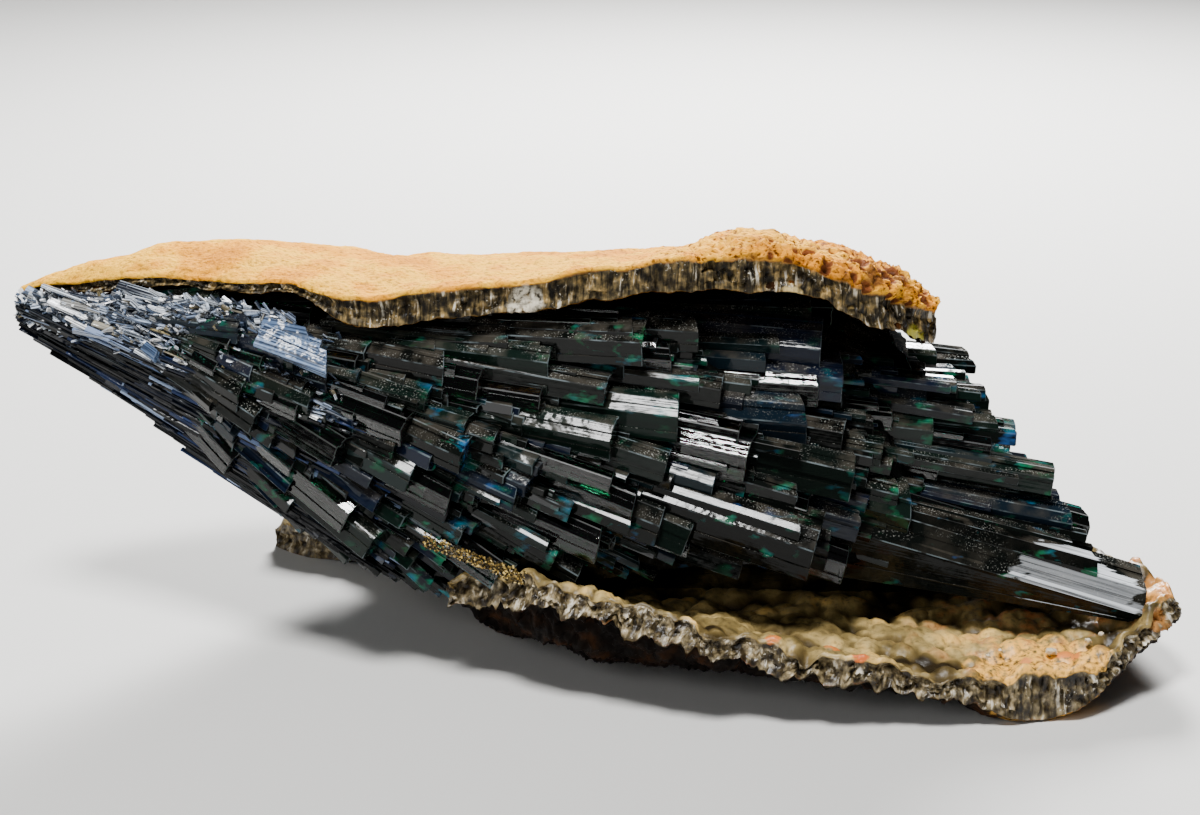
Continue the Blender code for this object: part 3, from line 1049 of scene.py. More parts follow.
        mesh = bpy.data.meshes.new(self.name)
        mesh.from_pydata(points.tolist(), [], np.concatenate(faces).tolist())
        for label, values in read.items():
            store(mesh, label, values)
        piece = make_object(self.name, mesh, self.finish.make())
        mesh.shade_smooth()
        mesh.set_sharp_from_angle(angle=math.radians(self.sharp_from_degrees))
        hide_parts(self.node)
        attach(piece, BODY)
        return piece


@dataclass(frozen=True)
class Crystal:
    """One crystal: where it ends, its sizes in millimetres and its turn in degrees."""

    tip: Vector
    length: float
    width: float
    depth: float
    roll: float
    slant: float
    lean: Range = (0.0, 0.0)

    def turn(self) -> Matrix:
        """Point the form's Z away from the fan's centre, with its Y up.

        Returns:
            The rotation.
        """
        axis = (self.tip - FAN_CENTRE).normalized()
        turn = axis.to_track_quat("Z", "Y").to_matrix()
        for angle, name in ((self.roll, "Z"), (self.lean[0], "X"), (self.lean[1], "Y")):
            turn = turn @ Matrix.Rotation(math.radians(angle), 3, name)
        return turn


@dataclass
class Prism:
    """A crystal's form: a rectangle that has lost two opposite corners, drawn out to a prism.

    Its corners are worn, and shallow growth steps run along its wider faces.
    """

    width: float = 1.0
    depth: float = 1.0
    length: float = 1.0
    slant: float = 0.2
    wear: float = 0.06
    end_wear: float | None = None
    step_depth: float = 0.0
    room_for_step: float = 8
    step_from: Range = (0.15, 0.5)
    step_width: Range = (0.12, 0.35)
    step_drop: Range = (0.5, 1.5)
    corner_cut: float = 0.3
    unevenness: float = 0.0

    def outline(self, draw: random.Random) -> list[tuple[Vector, bool]]:
        """Draw the form's section.

        Args:
            draw: source of chance.

        Returns:
            Its points, counter-clockwise, each with whether a worn side follows.
        """
        near = 1 - 2 * self.corner_cut
        corners = [Vector((x * self.width / 2, y * self.depth / 2, 0))
                   * (1 + draw.uniform(-self.unevenness, self.unevenness))
                   for x, y in ((-1, -1), (near, -1), (1, -near), (1, 1), (-near, 1), (-1, near))]
        points = []
        for corner, following in zip(corners, corners[1:] + corners[:1]):
            side = following - corner
            along = side.normalized()
            inward = Vector((-along.y, along.x, 0))
            wear = min(self.wear, side.length / 4)
            points.append((corner + along * wear, False))
            if self.step_depth and side.length > self.room_for_step * self.step_depth:
                start = draw.uniform(*self.step_from)
                stop = start + draw.uniform(*self.step_width)
                sunk = inward * self.step_depth * draw.uniform(*self.step_drop)
                first, second = corner + side * start, corner + side * stop
                step = (first, first + sunk, second + sunk, second)
                points += [(point, False) for point in step]
            points.append((following - along * wear, True))
        return points

    def rings(self, draw: random.Random) -> tuple[list[list[Vector]], list[bool]]:
        """Draw the form out along Z.

        Args:
            draw: source of chance.

        Returns:
            Its rings from the root to the worn end face, and its worn sides.
        """
        outline = self.outline(draw)
        points = [point for point, _ in outline]
        lift = [-self.slant * (point.x + self.width / 2) for point in points]
        shrink = 1 - 2 * self.wear / max(self.width, self.depth)
        bevel = self.wear if self.end_wear is None else self.end_wear
        rings = [
            [point + Vector((0, 0, -self.length)) for point in points],
            [point + Vector((0, 0, end - bevel)) for point, end in zip(points, lift)],
            [point * shrink + Vector((0, 0, end)) for point, end in zip(points, lift)],
        ]
        return rings, [worn for _, worn in outline]

    def template(self, seed: int, typical_width: float, typical_length: float) -> Object:
        """Return an object that holds the form at size 1, for planting.

        Args:
            seed: seed of its unevenness.
            typical_width: the planted crystals' mean width, for the lines of growth.
            typical_length: their mean length.

        Returns:
            The object, outside the scene.
        """
        rings, worn_sides = self.rings(random.Random(seed))
        points = [point for ring in rings for point in ring]
        faces, worn, walks = skin(rings, worn_sides)
        mesh = bpy.data.meshes.new(f"prism_{seed}")
        mesh.from_pydata(points, [], faces)
        store(mesh, "around", [seed * 10.0 + walk * typical_width for walk in walks])
        store(mesh, "along", [-point.z * typical_length for point in points])
        store(mesh, "worn", worn, "FACE")
        return bpy.data.objects.new(f"prism_{seed}", mesh)


def skin(rings: list[list[Vector]], worn_sides: list[bool], first: int = 0,
         ) -> tuple[list[tuple[int, ...]], list[float], list[float]]:
    """Return the surface that closes a crystal's rings.

    Args:
        rings: the rings from the root to the end face.
        worn_sides: whether each side is a worn edge.
        first: place of the first point among all points.

    Returns:
        Its faces, how worn each one is, and the way walked round the ring to each point.
    """
    size = len(rings[0])
    faces, worn, walks = [], [], []
    for ring in rings:
        walked = 0.0
        for point, following in zip(ring, ring[1:] + ring[:1]):
            walks.append(walked)
            walked += (following - point).length
    for level in range(len(rings) - 1):
        low, high = first + level * size, first + (level + 1) * size
        for k in range(size):
            n = (k + 1) % size
            faces.append((low + k, low + n, high + n, high + k))
            worn.append(1.0 if worn_sides[k] or level else 0.0)
    faces += [tuple(range(high, high + size)), tuple(reversed(range(first, first + size)))]
    return faces, worn + [0.0, 0.0], walks


@dataclass
class Growth:
    """The rule that the larger crystals follow: tiers of tips along each side of the fan."""

    seed: int = 41
    sides: tuple[tuple[int, int, tuple[int, ...]], ...] = (
        (12, 8, (FRONT_TOP, FRONT_MIDDLE, FRONT_BOTTOM)),
        (6, 6, (BACK_TOP, BACK_MIDDLE, BACK_BOTTOM)),
        (3, 4, (FRONT_TOP, BACK_TOP)))
    tips_from: float = 0.2
    tips_spread_out: float = 1.5
    tip_stray: float = 0.25
    height_in_tier: Range = (0.2, 0.8)
    lowest_at_left: float = 0.92
    length: Range = (15.0, 36.0)
    width: Range = (3.8, 6.2)
    size_spread: float = 0.35
    roll_spread: float = 14.0
    lean_spread: float = 3.0
    end_tiers: int = 8
    tips_in_end_tier: int = 4
    end_low_tip: Vector = field(default_factory=lambda: Vector((81, -7, 13)))
    end_high_tip: Vector = field(default_factory=lambda: Vector((52, 10, 41)))
    end_across: Vector = field(default_factory=lambda: Vector((-9, 25, -2)))
    end_step_back: float = 6.0
    end_shares: Range = (0.3, 0.9)
    flatness: Range = (0.6, 0.9)
    end_slant: Range = (0.0, 0.45)
    outstanding: tuple[tuple[Place, float, float, float, float], ...] = (
        ((78, -10, 9), 50.0, 10.0, 12.0, 4.0),
        ((31, -15, 22), 36.0, 8.0, 7.0, 6.0),
        ((7, -2, 49), 26.0, 9.0, 5.0, 4.0))

    def in_tier(self, draw: random.Random, tip: Vector, share: float) -> Crystal:
        """Grow a crystal whose size follows its place and chance.

        Args:
            draw: source of chance.
            tip: where it ends.
            share: share of the way to the right.

        Returns:
            The crystal.
        """
        length = self.length[0] + (self.length[1] - self.length[0]) * share
        width = self.width[0] + (self.width[1] - self.width[0]) * share
        length *= draw.uniform(1 - self.size_spread, 1 + self.size_spread)
        width *= draw.uniform(1 - self.size_spread, 1 + self.size_spread)
        length = min(length, (tip - FAN_CENTRE).length)
        depth = width * draw.uniform(*self.flatness)
        roll = draw.uniform(-self.roll_spread, self.roll_spread)
        slant = draw.uniform(*self.end_slant)
        first, second = (draw.uniform(-self.lean_spread, self.lean_spread) for _ in range(2))
        return Crystal(tip, length, width, depth, roll, slant, (first, second))

    def crystals(self) -> list[Crystal]:
        """Grow every crystal of the rule.

        Returns:
            The crystals.
        """
        draw = random.Random(self.seed)
        found = [Crystal(Vector(tip), *sizes, draw.uniform(*self.end_slant))
                 for tip, *sizes in self.outstanding]
        for tiers, tips, corners in self.sides:
            for tier in range(tiers):
                stagger = draw.random()
                for index in range(tips):
                    place = index + stagger + draw.uniform(-self.tip_stray, self.tip_stray)
                    share = min(max(place / tips, 0), 1)
                    fraction = (self.tips_from
                                + (1 - self.tips_from) * share ** self.tips_spread_out)
                    lowest = self.lowest_at_left + (1 - self.lowest_at_left) * share
                    rise = tier + draw.uniform(*self.height_in_tier)
                    height = (len(corners) - 1) * lowest * rise / tiers
                    leg = int(height)
                    start, end = (fan_line(corners[leg + n], np.array([fraction]))[0]
                                  for n in (0, 1))
                    tip = Vector(start).lerp(Vector(end), height - leg)
                    found.append(self.in_tier(draw, tip, share))
        for tier in range(self.end_tiers):
            for index in range(self.tips_in_end_tier):
                rise = (tier + draw.random()) / self.end_tiers
                tip = self.end_low_tip.lerp(self.end_high_tip, rise)
                tip += self.end_across * (index + draw.random()) / self.tips_in_end_tier
                tip.x -= draw.uniform(0, self.end_step_back)
                found.append(self.in_tier(draw, tip, draw.uniform(*self.end_shares)))
        return found


def fan_line(corner: int, shares: np.ndarray) -> np.ndarray:
    """Return points of one of the fan's corner lines at shares along it."""
    return spline(tuple(section[corner] for section in SECTIONS), shares)


class Plates:
    """The two plates' solids, to tell whether a crystal's tip lies between them."""

    def __init__(self, nodes: dict[str, Object]) -> None:
        """Read the plates.

        Args:
            nodes: the frame's solids by name.
        """
        self.upper, self.lower = (
            BVHTree.FromPolygons([vertex.co for vertex in nodes[name].data.vertices],
                                 [tuple(face.vertices) for face in nodes[name].data.polygons])
            for name in ("upper_crust", "lower_crust"))
        self.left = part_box("upper_crust")[0].x
        self.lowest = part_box("lower_crust")[0].z - 10 * MM
        self.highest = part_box("upper_crust")[1].z + 10 * MM

    def fit(self, point: Vector) -> Vector:
        """Move a point out of the dish below it and the plate above it.

        Args:
            point: a point, in metres.

        Returns:
            The moved point.
        """
        over = self.on_dish(point)
        if over is not None and point.z < over.z:
            point = Vector((point.x, point.y, over.z))
        under = self.upper.ray_cast(Vector((point.x, point.y, self.lowest)), UP)[0]
        if under is not None and point.z > under.z + MM:
            point = Vector((point.x, point.y, under.z + MM))
        return point

    def on_dish(self, point: Vector) -> Vector:
        """Return the place on the dish below or above a point, in metres."""
        return self.lower.ray_cast(Vector((point.x, point.y, self.highest)), DOWN)[0]

    def between(self, tip: Vector) -> bool:
        """Tell whether a tip is under the upper plate's top and over the dish.

        Args:
            tip: a tip, in metres.

        Returns:
            Whether it is.
        """
        if tip.x < self.left or self.upper.ray_cast(tip, DOWN)[0] is not None:
            return False
        return self.lower.ray_cast(tip, UP)[0] is None and tip.z > 2 * MM


def keep_between(mesh: Mesh, plates: Plates, size: int, top: int) -> None:
    """Delete the crystals whose tip isn't between the plates.

    Args:
        mesh: crystals one after another, each with the same number of points.
        plates: the two plates.
        size: points in one crystal.
        top: points in its end face, which come last.
    """
    with edited(mesh) as work:
        work.verts.ensure_lookup_table()
        gone = []
        for first in range(0, len(work.verts), size):
            crystal = work.verts[first:first + size]
            ends = crystal[-top::top // 3] + crystal[:top:top // 3]
            if not all(plates.between(vertex.co) for vertex in ends):
                gone.extend(crystal)
        bmesh.ops.delete(work, geom=gone, context="VERTS")


@dataclass
class Bunch:
    """Crystals placed one by one, each with thinner ones grown along its faces."""

    name: str
    finish: CrystalFinish
    plates: Plates
    crystals: list[Crystal]
    companions: int = 3
    seed: int = 3
    wear: float = 0.12
    step_depth: float = 0.22
    unevenness: float = 0.06
    thinner: Range = (0.18, 0.5)
    shorter: float = 0.7
    aside: Range = (0.32, 0.5)
    stray: Range = (-0.3, 0.3)
    set_back: Range = (0.04, 0.55)
    roll_stray: Range = (-4, 4)
    end_slant: Range = (0, 0.5)
    tone_stray: Range = (-0.2, 0.2)
    points: list[Vector] = field(default_factory=list)
    faces: list[tuple[int, ...]] = field(default_factory=list)
    tones: list[float] = field(default_factory=list)
    around: list[float] = field(default_factory=list)
    along: list[float] = field(default_factory=list)
    worn: list[float] = field(default_factory=list)

    def add(self, draw: random.Random, crystal: Crystal, tone: float, wear: float,
            step_depth: float) -> None:
        """Add one crystal to the bunch.

        Args:
            draw: source of chance.
            crystal: the crystal.
            tone: its place in the finish's colours, 0 to 1.
            wear: width of its worn edges.
            step_depth: depth of its growth steps.
        """
        form = Prism(crystal.width, crystal.depth, crystal.length, crystal.slant, wear,
                     step_depth=step_depth, unevenness=self.unevenness)
        rings, worn_sides = form.rings(draw)
        turn = crystal.turn()
        start = draw.uniform(0, 100)
        faces, worn, walks = skin(rings, worn_sides, len(self.points))
        for ring in rings:
            for point in ring:
                self.points.append(self.plates.fit(in_frame(crystal.tip + turn @ point)))
                self.tones.append(tone)
                self.along.append(-point.z)
        self.around += [start + walk for walk in walks]
        self.faces += faces
        self.worn += worn

    def companion(self, draw: random.Random, leader: Crystal) -> Crystal:
        """Grow a thinner crystal along one of a crystal's faces.

        Args:
            draw: source of chance.
            leader: the thicker crystal.

        Returns:
            The thinner one.
        """
        turn = leader.turn()
        across, up, axis = turn.col
        side, way = draw.choice(((across, leader.width), (up, leader.depth)))
        width = leader.width * draw.uniform(*self.thinner)
        depth = leader.depth * draw.uniform(*self.thinner)
        stray = across if side == up else up
        tip = leader.tip + side * draw.choice((-1, 1)) * way * draw.uniform(*self.aside)
        tip = tip + stray * leader.width * draw.uniform(*self.stray)
        tip = tip - axis * draw.uniform(*self.set_back) * leader.length
        return Crystal(tip, leader.length * self.shorter, width, depth,
                       leader.roll + draw.uniform(*self.roll_stray),
                       draw.uniform(*self.end_slant))

    def build(self) -> Object:
        """Build the bunch and dress it.

        Returns:
            The finished bunch.
        """
        draw = random.Random(self.seed)
        for leader in self.crystals:
            tone = draw.random()
            self.add(draw, leader, tone, self.wear, self.step_depth)
            for _ in range(self.companions):
                other = self.companion(draw, leader)
                self.add(draw, other, tone + draw.uniform(*self.tone_stray), self.wear / 2, 0)
        mesh = bpy.data.meshes.new(self.name)
        mesh.from_pydata(self.points, [], self.faces)
        for label, values in (("tone", self.tones), ("around", self.around),
                              ("along", self.along)):
            store(mesh, label, values)
        store(mesh, "worn", self.worn, "FACE")
        return make_object(self.name, mesh, self.finish.make())


def fan_sheet(name: str, corners: tuple[int, ...], start: float, inset: float,
              stop: float = 1.0, steps: int = 60) -> Mesh:
    """Return part of the fan's outer form as a sheet to plant on.

    Args:
        name: the mesh's name.
        corners: the section corners that it runs through.
        start: share along the fan where it begins.
        inset: how far it lies inside the form.
        stop: share along the fan where it ends.
        steps: how many strips it has along the fan.

    Returns:
        The sheet in the solids' frame.
    """
    shares = np.linspace(start, stop, steps)
    lines = [fan_line(corner, shares) for corner in corners]
    count = len(SECTIONS[0])
    middle = sum(fan_line(corner, shares) for corner in range(count)) / count
    lines = [line + unit(middle - line) * inset for line in lines]
    points = (np.concatenate(lines) - np.array(PLAN_CENTRE)) * MM
    mesh = bpy.data.meshes.new(name)
    mesh.from_pydata(points.tolist(), [], grid_faces(len(lines), steps))
    return mesh


@dataclass
class PlantedCrystals:
    """Crystals planted by chance on a sheet, all pointing away from the fan's centre."""

    name: str
    plates: Plates
    finish: CrystalFinish
    sheet: Mesh
    per_cm2: float
    length: Range
    width: Range
    flatness: Range = (0.6, 1.0)
    stand_out: Range = (-0.5, 1.5)
    spread: float = 0.05
    centre: Vector = field(default_factory=lambda: FAN_CENTRE)
    seed: int = 5
    forms: tuple[int, ...] = (21, 22, 23, 24, 25)
    roll: float = 0.4
    slant_step: float = 0.3
    wear: float = 0.05
    unevenness: float = 0.12

    def sizes(self) -> dict[str, float | Vector]:
        """List the planting tree's named inputs.

        Returns:
            Their values, in metres.
        """
        found = {"Per Square Metre": self.per_cm2 * 1e4, "Spread": self.spread,
                 "Fan Centre": in_frame(self.centre)}
        for label, ends, scale in (("Length", self.length, MM), ("Width", self.width, MM),
                                   ("Flat", self.flatness, 1.0), ("Out", self.stand_out, MM)):
            found[label + " Min"], found[label + " Max"] = (end * scale for end in ends)
        return found

    def tree(self, material: Material, forms: Collection) -> NodeTree:
        """Return the planting tree, with its sizes as named inputs.

        Args:
            material: the crystals' finish.
            forms: the prisms to pick from.

        Returns:
            The Geometry Nodes tree.
        """
        tree = bpy.data.node_groups.new(self.name + "_planting", "GeometryNodeTree")
        for way in ("INPUT", "OUTPUT"):
            tree.interface.new_socket("Geometry", in_out=way,
                                      socket_type="NodeSocketGeometry")
        for label, value in self.sizes().items():
            kind = "NodeSocketVector" if isinstance(value, Vector) else "NodeSocketFloat"
            tree.interface.new_socket(label, in_out="INPUT", socket_type=kind)
        add = partial(add_node, tree)
        given = tree.nodes.new("NodeGroupInput").outputs
        first_seed = self.seed * 100
        points = add(Knot.SCATTER, given["Geometry"], given["Per Square Metre"], self.seed)
        away = add(Knot.LESS, add(Knot.POSITION), given["Fan Centre"])
        away = add(Knot.UNIT, away)
        stray = add(Knot.STRAY, (-1, -1, -1), (1, 1, 1), first_seed + 1)
        away = add(Knot.SUM, away, add(Knot.SCALE, stray, given["Spread"]))
        turned = add(Knot.ALIGN, away, axis="Z")
        turned = add(Knot.ALIGN, UP, turned, axis="Y", pivot_axis="Z")
        roll = add(Knot.CHANCE, -self.roll, self.roll, first_seed + 2)
        turned = add(Knot.TURN, turned, add(Knot.ABOUT, UP, roll))
        width, flat, length, out = (
            add(Knot.CHANCE, given[label + " Min"], given[label + " Max"], first_seed + number)
            for number, label in ((3, "Width"), (4, "Flat"), (6, "Length"), (7, "Out")))
        scale = add(Knot.JOIN, width, add(Knot.TIMES, width, flat), length)
        moved = add(Knot.MOVE, points, add(Knot.SCALE, away, out))
        planted = add(Knot.PLANT, moved, add(Knot.FORMS, forms, True, True), True, turned, scale)
        tone = add(Knot.CHANCE, 0.0, 1.0, first_seed + 8)
        real = add(Knot.REALIZE, add(Knot.NOTE, planted, "tone", tone))
        feed(tree.nodes.new("NodeGroupOutput"), {"Geometry": add(Knot.DRESS, real, material)})
        return tree

    def build(self) -> Object:
        """Plant the crystals and keep those between the plates.

        Returns:
            The crystals as one plain mesh.
        """
        material = self.finish.make()
        forms = bpy.data.collections.new(self.name + "_forms")
        typical = (sum(self.width) / 2, sum(self.length) / 2)
        thinness = typical[0] / typical[1]
        templates = [Prism(slant=self.slant_step * (seed % 3) * thinness, wear=self.wear,
                           end_wear=self.wear * thinness, unevenness=self.unevenness,
                           ).template(seed, *typical) for seed in self.forms]
        for template in templates:
            forms.objects.link(template)
        ground = make_object(self.name + "_ground", self.sheet, material)
        step = ground.modifiers.new("planting", "NODES")
        step.node_group = self.tree(material, forms)
        sizes = self.sizes()
        for item in step.node_group.interface.items_tree:
            if item.in_out == "INPUT" and item.name in sizes:
                value = sizes[item.name]
                step[item.identifier] = tuple(value) if isinstance(value, Vector) else value
        ground.update_tag()
        graph = bpy.context.evaluated_depsgraph_get()
        mesh = bpy.data.meshes.new_from_object(ground.evaluated_get(graph))
        mesh.name = self.name
        for helper in (ground, *templates):
            bpy.data.objects.remove(helper, do_unlink=True)
        bpy.data.collections.remove(forms)
        ring = len(Prism().outline(random.Random(0)))
        keep_between(mesh, self.plates, 3 * ring, ring)
        return make_object(self.name, mesh, material)


@dataclass
class Spray:
    """The fan of crystals: filled body, lead crystals and the many lesser ones between them."""

    core_inset: float = 2.6
    core_inset_share: float = 0.3
    core_steps: int = 90
    core_look: tuple[tuple[str, float], ...] = (("tone", 0.1), ("around", 0.0), ("along", 30.0))
    cleaved: tuple[Crystal, ...] = (
        Crystal(Vector((-38, -6, 46)), 12.0, 3.6, 1.0, 38, 0.5, (18, 0)),
        Crystal(Vector((-39.5, -4, 48)), 10.0, 2.6, 0.9, 30, 0.3, (15, 0)),
        Crystal(Vector((-41, -2.5, 49.5)), 8.0, 2.0, 0.9, 45, 0.7, (14, 0)),
        Crystal(Vector((-64, 1.5, 45)), 4.5, 1.6, 0.8, 40, 0.5))
    clear_from: int = 4
    clear_every: int = 3

    def core(self, material: Material) -> Object:
        """Build the dark body that closes the view between the crystals.

        Args:
            material: its finish.

        Returns:
            The body.
        """
        steps = self.core_steps
        shares = np.linspace(0, 1, steps)
        count = len(SECTIONS[0])
        lines = [fan_line(corner, shares) for corner in range(count)]
        inward = sum(lines) / count - np.array(lines)
        reach = np.linalg.norm(inward, axis=2, keepdims=True)
        inset = np.minimum(self.core_inset, self.core_inset_share * reach)
        points = (np.array(lines) + unit(inward) * inset).reshape(-1, 3)
        points = (points - np.array(PLAN_CENTRE)) * MM
        faces = grid_faces(count, steps, closed=True)
        faces.append(tuple(r * steps for r in range(count)))
        faces.append(tuple(r * steps + steps - 1 for r in reversed(range(count))))
        mesh = bpy.data.meshes.new("crystal_body")
        mesh.from_pydata(points.tolist(), [], faces)
        for label, value in self.core_look:
            store(mesh, label, np.full(len(points), value))
        with edited(mesh) as work:
            bmesh.ops.recalc_face_normals(work, faces=work.faces)
        return make_object("crystal_body", mesh, material)

    def build(self, plates: Plates) -> list[Object]:
        """Build and dress the fan.

        Args:
            plates: the plates that it grows between.

        Returns:
            Every piece of it.
        """
        # Vivianite as it grew: near black, mirror faces, and green to blue where light gets in,
        # painted on as a glow.
        dark = CrystalFinish("vivianite_dark_glassy", DARK_TONES,
                             cleaved=(Spot((68, -18, 19), 11.5, "#b9bdc1"),))
        # The clearer crystals: they let light through, bottle green in their depth.
        clear = CrystalFinish("vivianite_clear_green", CLEAR_TONES, transmission=1.0,
                              density=900.0, roughness=0.03, line_depth=0.15, glow=0.0,
                              dust=0.2, wear=0.15)
        # Fresh cleavage of flat plates: steel blue with a silky sheen along dark lines.
        cleaved = CrystalFinish("vivianite_silky_cleavage", CLEAVED_TONES, roughness=0.2,
                                line_depth=0.8, dust=0.0, glow=0.0, wear=0.3, shine=0.3,
                                streak="#1f2a3c", waviness=9.0)
        # Crystals split to thin blades: navy, with a pale blade here and there as a painted glint.
        navy = CrystalFinish("vivianite_navy_split", NAVY_GLINT_TONES, roughness=0.14, line_depth=0.6,
                             dust=0.0, glow=0.0, wear=0.2)
        # Splinters and flakes of cleavage: pearly, from slate to white.
        pearl = CrystalFinish("vivianite_pearly_cleavage", PEARL_TONES, roughness=0.16,
                              line_depth=0.6, dust=0.0, glow=0.0, wear=0.2, shine=0.5,
                              streak="#161b24")
        # Crushed crystal: white like frost, because light scatters at every crack.
        frost = CrystalFinish("vivianite_crushed_white", FROST_TONES, roughness=0.35,
                              line_depth=0.6, dust=0.0, glow=0.0)
        # A crust of tiny crystals stained by iron: golden glitter on brown.
        druse = CrystalFinish("golden_druse", DRUSE_TONES, roughness=0.25, line_depth=0.5,
                              dust=0.0, glow=0.0)
        front = (FRONT_TOP, FRONT_MIDDLE, FRONT_BOTTOM)
        back = (BACK_BOTTOM, BACK_MIDDLE, BACK_TOP)
        under = (FRONT_BOTTOM, FRONT_ROOT, BACK_BOTTOM)
        crystals = Growth().crystals()
        see_through = crystals[self.clear_from::self.clear_every]
        solid = [crystal for crystal in crystals if crystal not in see_through]
        pieces = [self.core(dark.make()), Bunch("lead_crystals", dark, plates, solid).build(),
                  Bunch("clear_crystals", clear, plates, see_through, companions=1,
                        seed=4).build(),
                  Bunch("cleaved_plate", cleaved, plates, list(self.cleaved), companions=0,
                        seed=5).build()]
        planted = (
            PlantedCrystals("front_crystals_fine", plates, dark,
                            fan_sheet("front", front, 0.14, 1.2),
                            8, (8, 18), (0.8, 1.8), spread=0.03, seed=5),
            PlantedCrystals("left_crystals", plates, dark,
                            fan_sheet("front_l", front, 0.16, 0.8, 0.55),
                            6, (8, 16), (1.6, 3.2), stand_out=(-0.5, 2.0), seed=6),
            PlantedCrystals("right_crystals", plates, dark,
                            fan_sheet("front_r", front, 0.5, 1.2),
                            2.5, (16, 30), (1.6, 3.2), stand_out=(-1, 2.5), spread=0.02, seed=26),
            PlantedCrystals("back_crystals", plates, dark, fan_sheet("back", back, 0.16, 0.8),
                            10, (10, 22), (1.2, 3.6), seed=7),
            PlantedCrystals("under_crystals", plates, dark,
                            fan_sheet("under", under, 0.1, 0.6, 0.6),
                            14, (10, 20), (0.8, 2.4), seed=17),
            PlantedCrystals("end_crystals", plates, dark, self.end_sheet(), 9, (14, 30),
                            (1.2, 3.2), stand_out=(-7, 2), seed=8),
            PlantedCrystals("navy_blades", plates, navy,
                            self.tip_sheet((FRONT_MIDDLE, FRONT_BOTTOM, FRONT_ROOT), -88, -26),
                            60, (9, 24), (0.4, 1.1), (0.3, 0.8), (-0.6, 0.0), 0.02,
                            BLADE_CENTRE, seed=9),
            PlantedCrystals("pearly_blades", plates, pearl,
                            self.tip_sheet((FRONT_TOP, FRONT_MIDDLE), -84, -33),
                            30, (4, 9), (0.6, 1.8), (0.15, 0.4), (-0.6, 0.4), 0.15,
                            BLADE_CENTRE, seed=11, roll=0.7),
            PlantedCrystals("pearly_splinters", plates, pearl,
                            self.tip_sheet((FRONT_TOP, FRONT_MIDDLE), -88, -36),
                            460, (0.6, 2.2), (0.35, 1.1), (0.15, 0.5), (-0.5, 0.4), 0.8,
                            BLADE_CENTRE, seed=10, roll=1.0),
            PlantedCrystals("silver_flakes", plates, pearl, self.rubble_sheet(),
                            420, (0.8, 2.6), (0.4, 1.3), (0.15, 0.5), (-0.4, 1.2), 0.8,
                            BLADE_CENTRE, seed=14, roll=1.2),
            PlantedCrystals("crushed_tip", plates, frost,
                            self.tip_sheet((FRONT_TOP, FRONT_MIDDLE), -88, -77),
                            900, (0.4, 1.5), (0.3, 0.9), (0.15, 0.5), (-0.4, 0.5), 1.2,
                            BLADE_CENTRE, seed=12, roll=1.5),
            PlantedCrystals("golden_druse", plates, druse, self.druse_sheet(), 2600, (0.2, 0.5),
                            (0.12, 0.3), (0.6, 1.0), (-0.2, 0.1), 0.9, seed=13, roll=1.5),
        )
        pieces += [crystals.build() for crystals in planted]
        for piece in pieces:
            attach(piece, BODY)
        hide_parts("vivianite_spray")
        return pieces

    @staticmethod
    def patch(name: str, *rows: Row) -> Mesh:
        """Return a strip of flat sheet between two rows of points, to plant on.

        Args:
            name: the mesh's name.
            rows: two rows with the same number of points.

        Returns:
            The sheet in the solids' frame.
        """
        mesh = bpy.data.meshes.new(name)
        mesh.from_pydata([in_frame(point) for row in rows for point in row], [],
                         grid_faces(len(rows), len(rows[0])))
        return mesh

    def end_sheet(self) -> Mesh:
        """Return the fan's open right end, from the low front to the high back."""
        return self.patch("end", ((74, -6, 13), (55, 6, 39)), ((69, 31, 14), (55, 33, 38)))

    def druse_sheet(self) -> Mesh:
        """Return the narrow strip of small golden crystals between the dish and the fan."""
        return self.patch("druse", ((-25, -12, 21), (-9, -16, 16)),
                          ((-25, -11, 22.5), (-9, -15, 17.5)))

    def rubble_sheet(self) -> Mesh:
        """Lay the strip of crushed crystal under the upper plate's left rim.

        Returns:
            The strip.
        """
        return self.patch("rubble",
                          ((-78, 14, 47), (-66, 9, 47.5), (-54, 4, 47.5), (-44, 0.5, 46.5)),
                          ((-77, 17, 49.5), (-66, 12, 51.3), (-54, 6.5, 52), (-44, 2, 51)))

    @staticmethod
    def tip_sheet(corners: tuple[int, ...], low: float, high: float) -> Mesh:
        """Return part of the fan's left end, where the crystals are split to blades.

        Args:
            corners: the section corners that it runs through.
            low: where it begins, left.
            high: where it ends, right.

        Returns:
            The sheet in the solids' frame.
        """
        mesh = fan_sheet("tip", corners, 0.0, 0.5, steps=120)
        first, last = in_frame((low, 0, 0)).x, in_frame((high, 0, 0)).x
        with edited(mesh) as work:
            outside = [v for v in work.verts if not first < v.co.x < last]
            bmesh.ops.delete(work, geom=outside, context="VERTS")
        return mesh


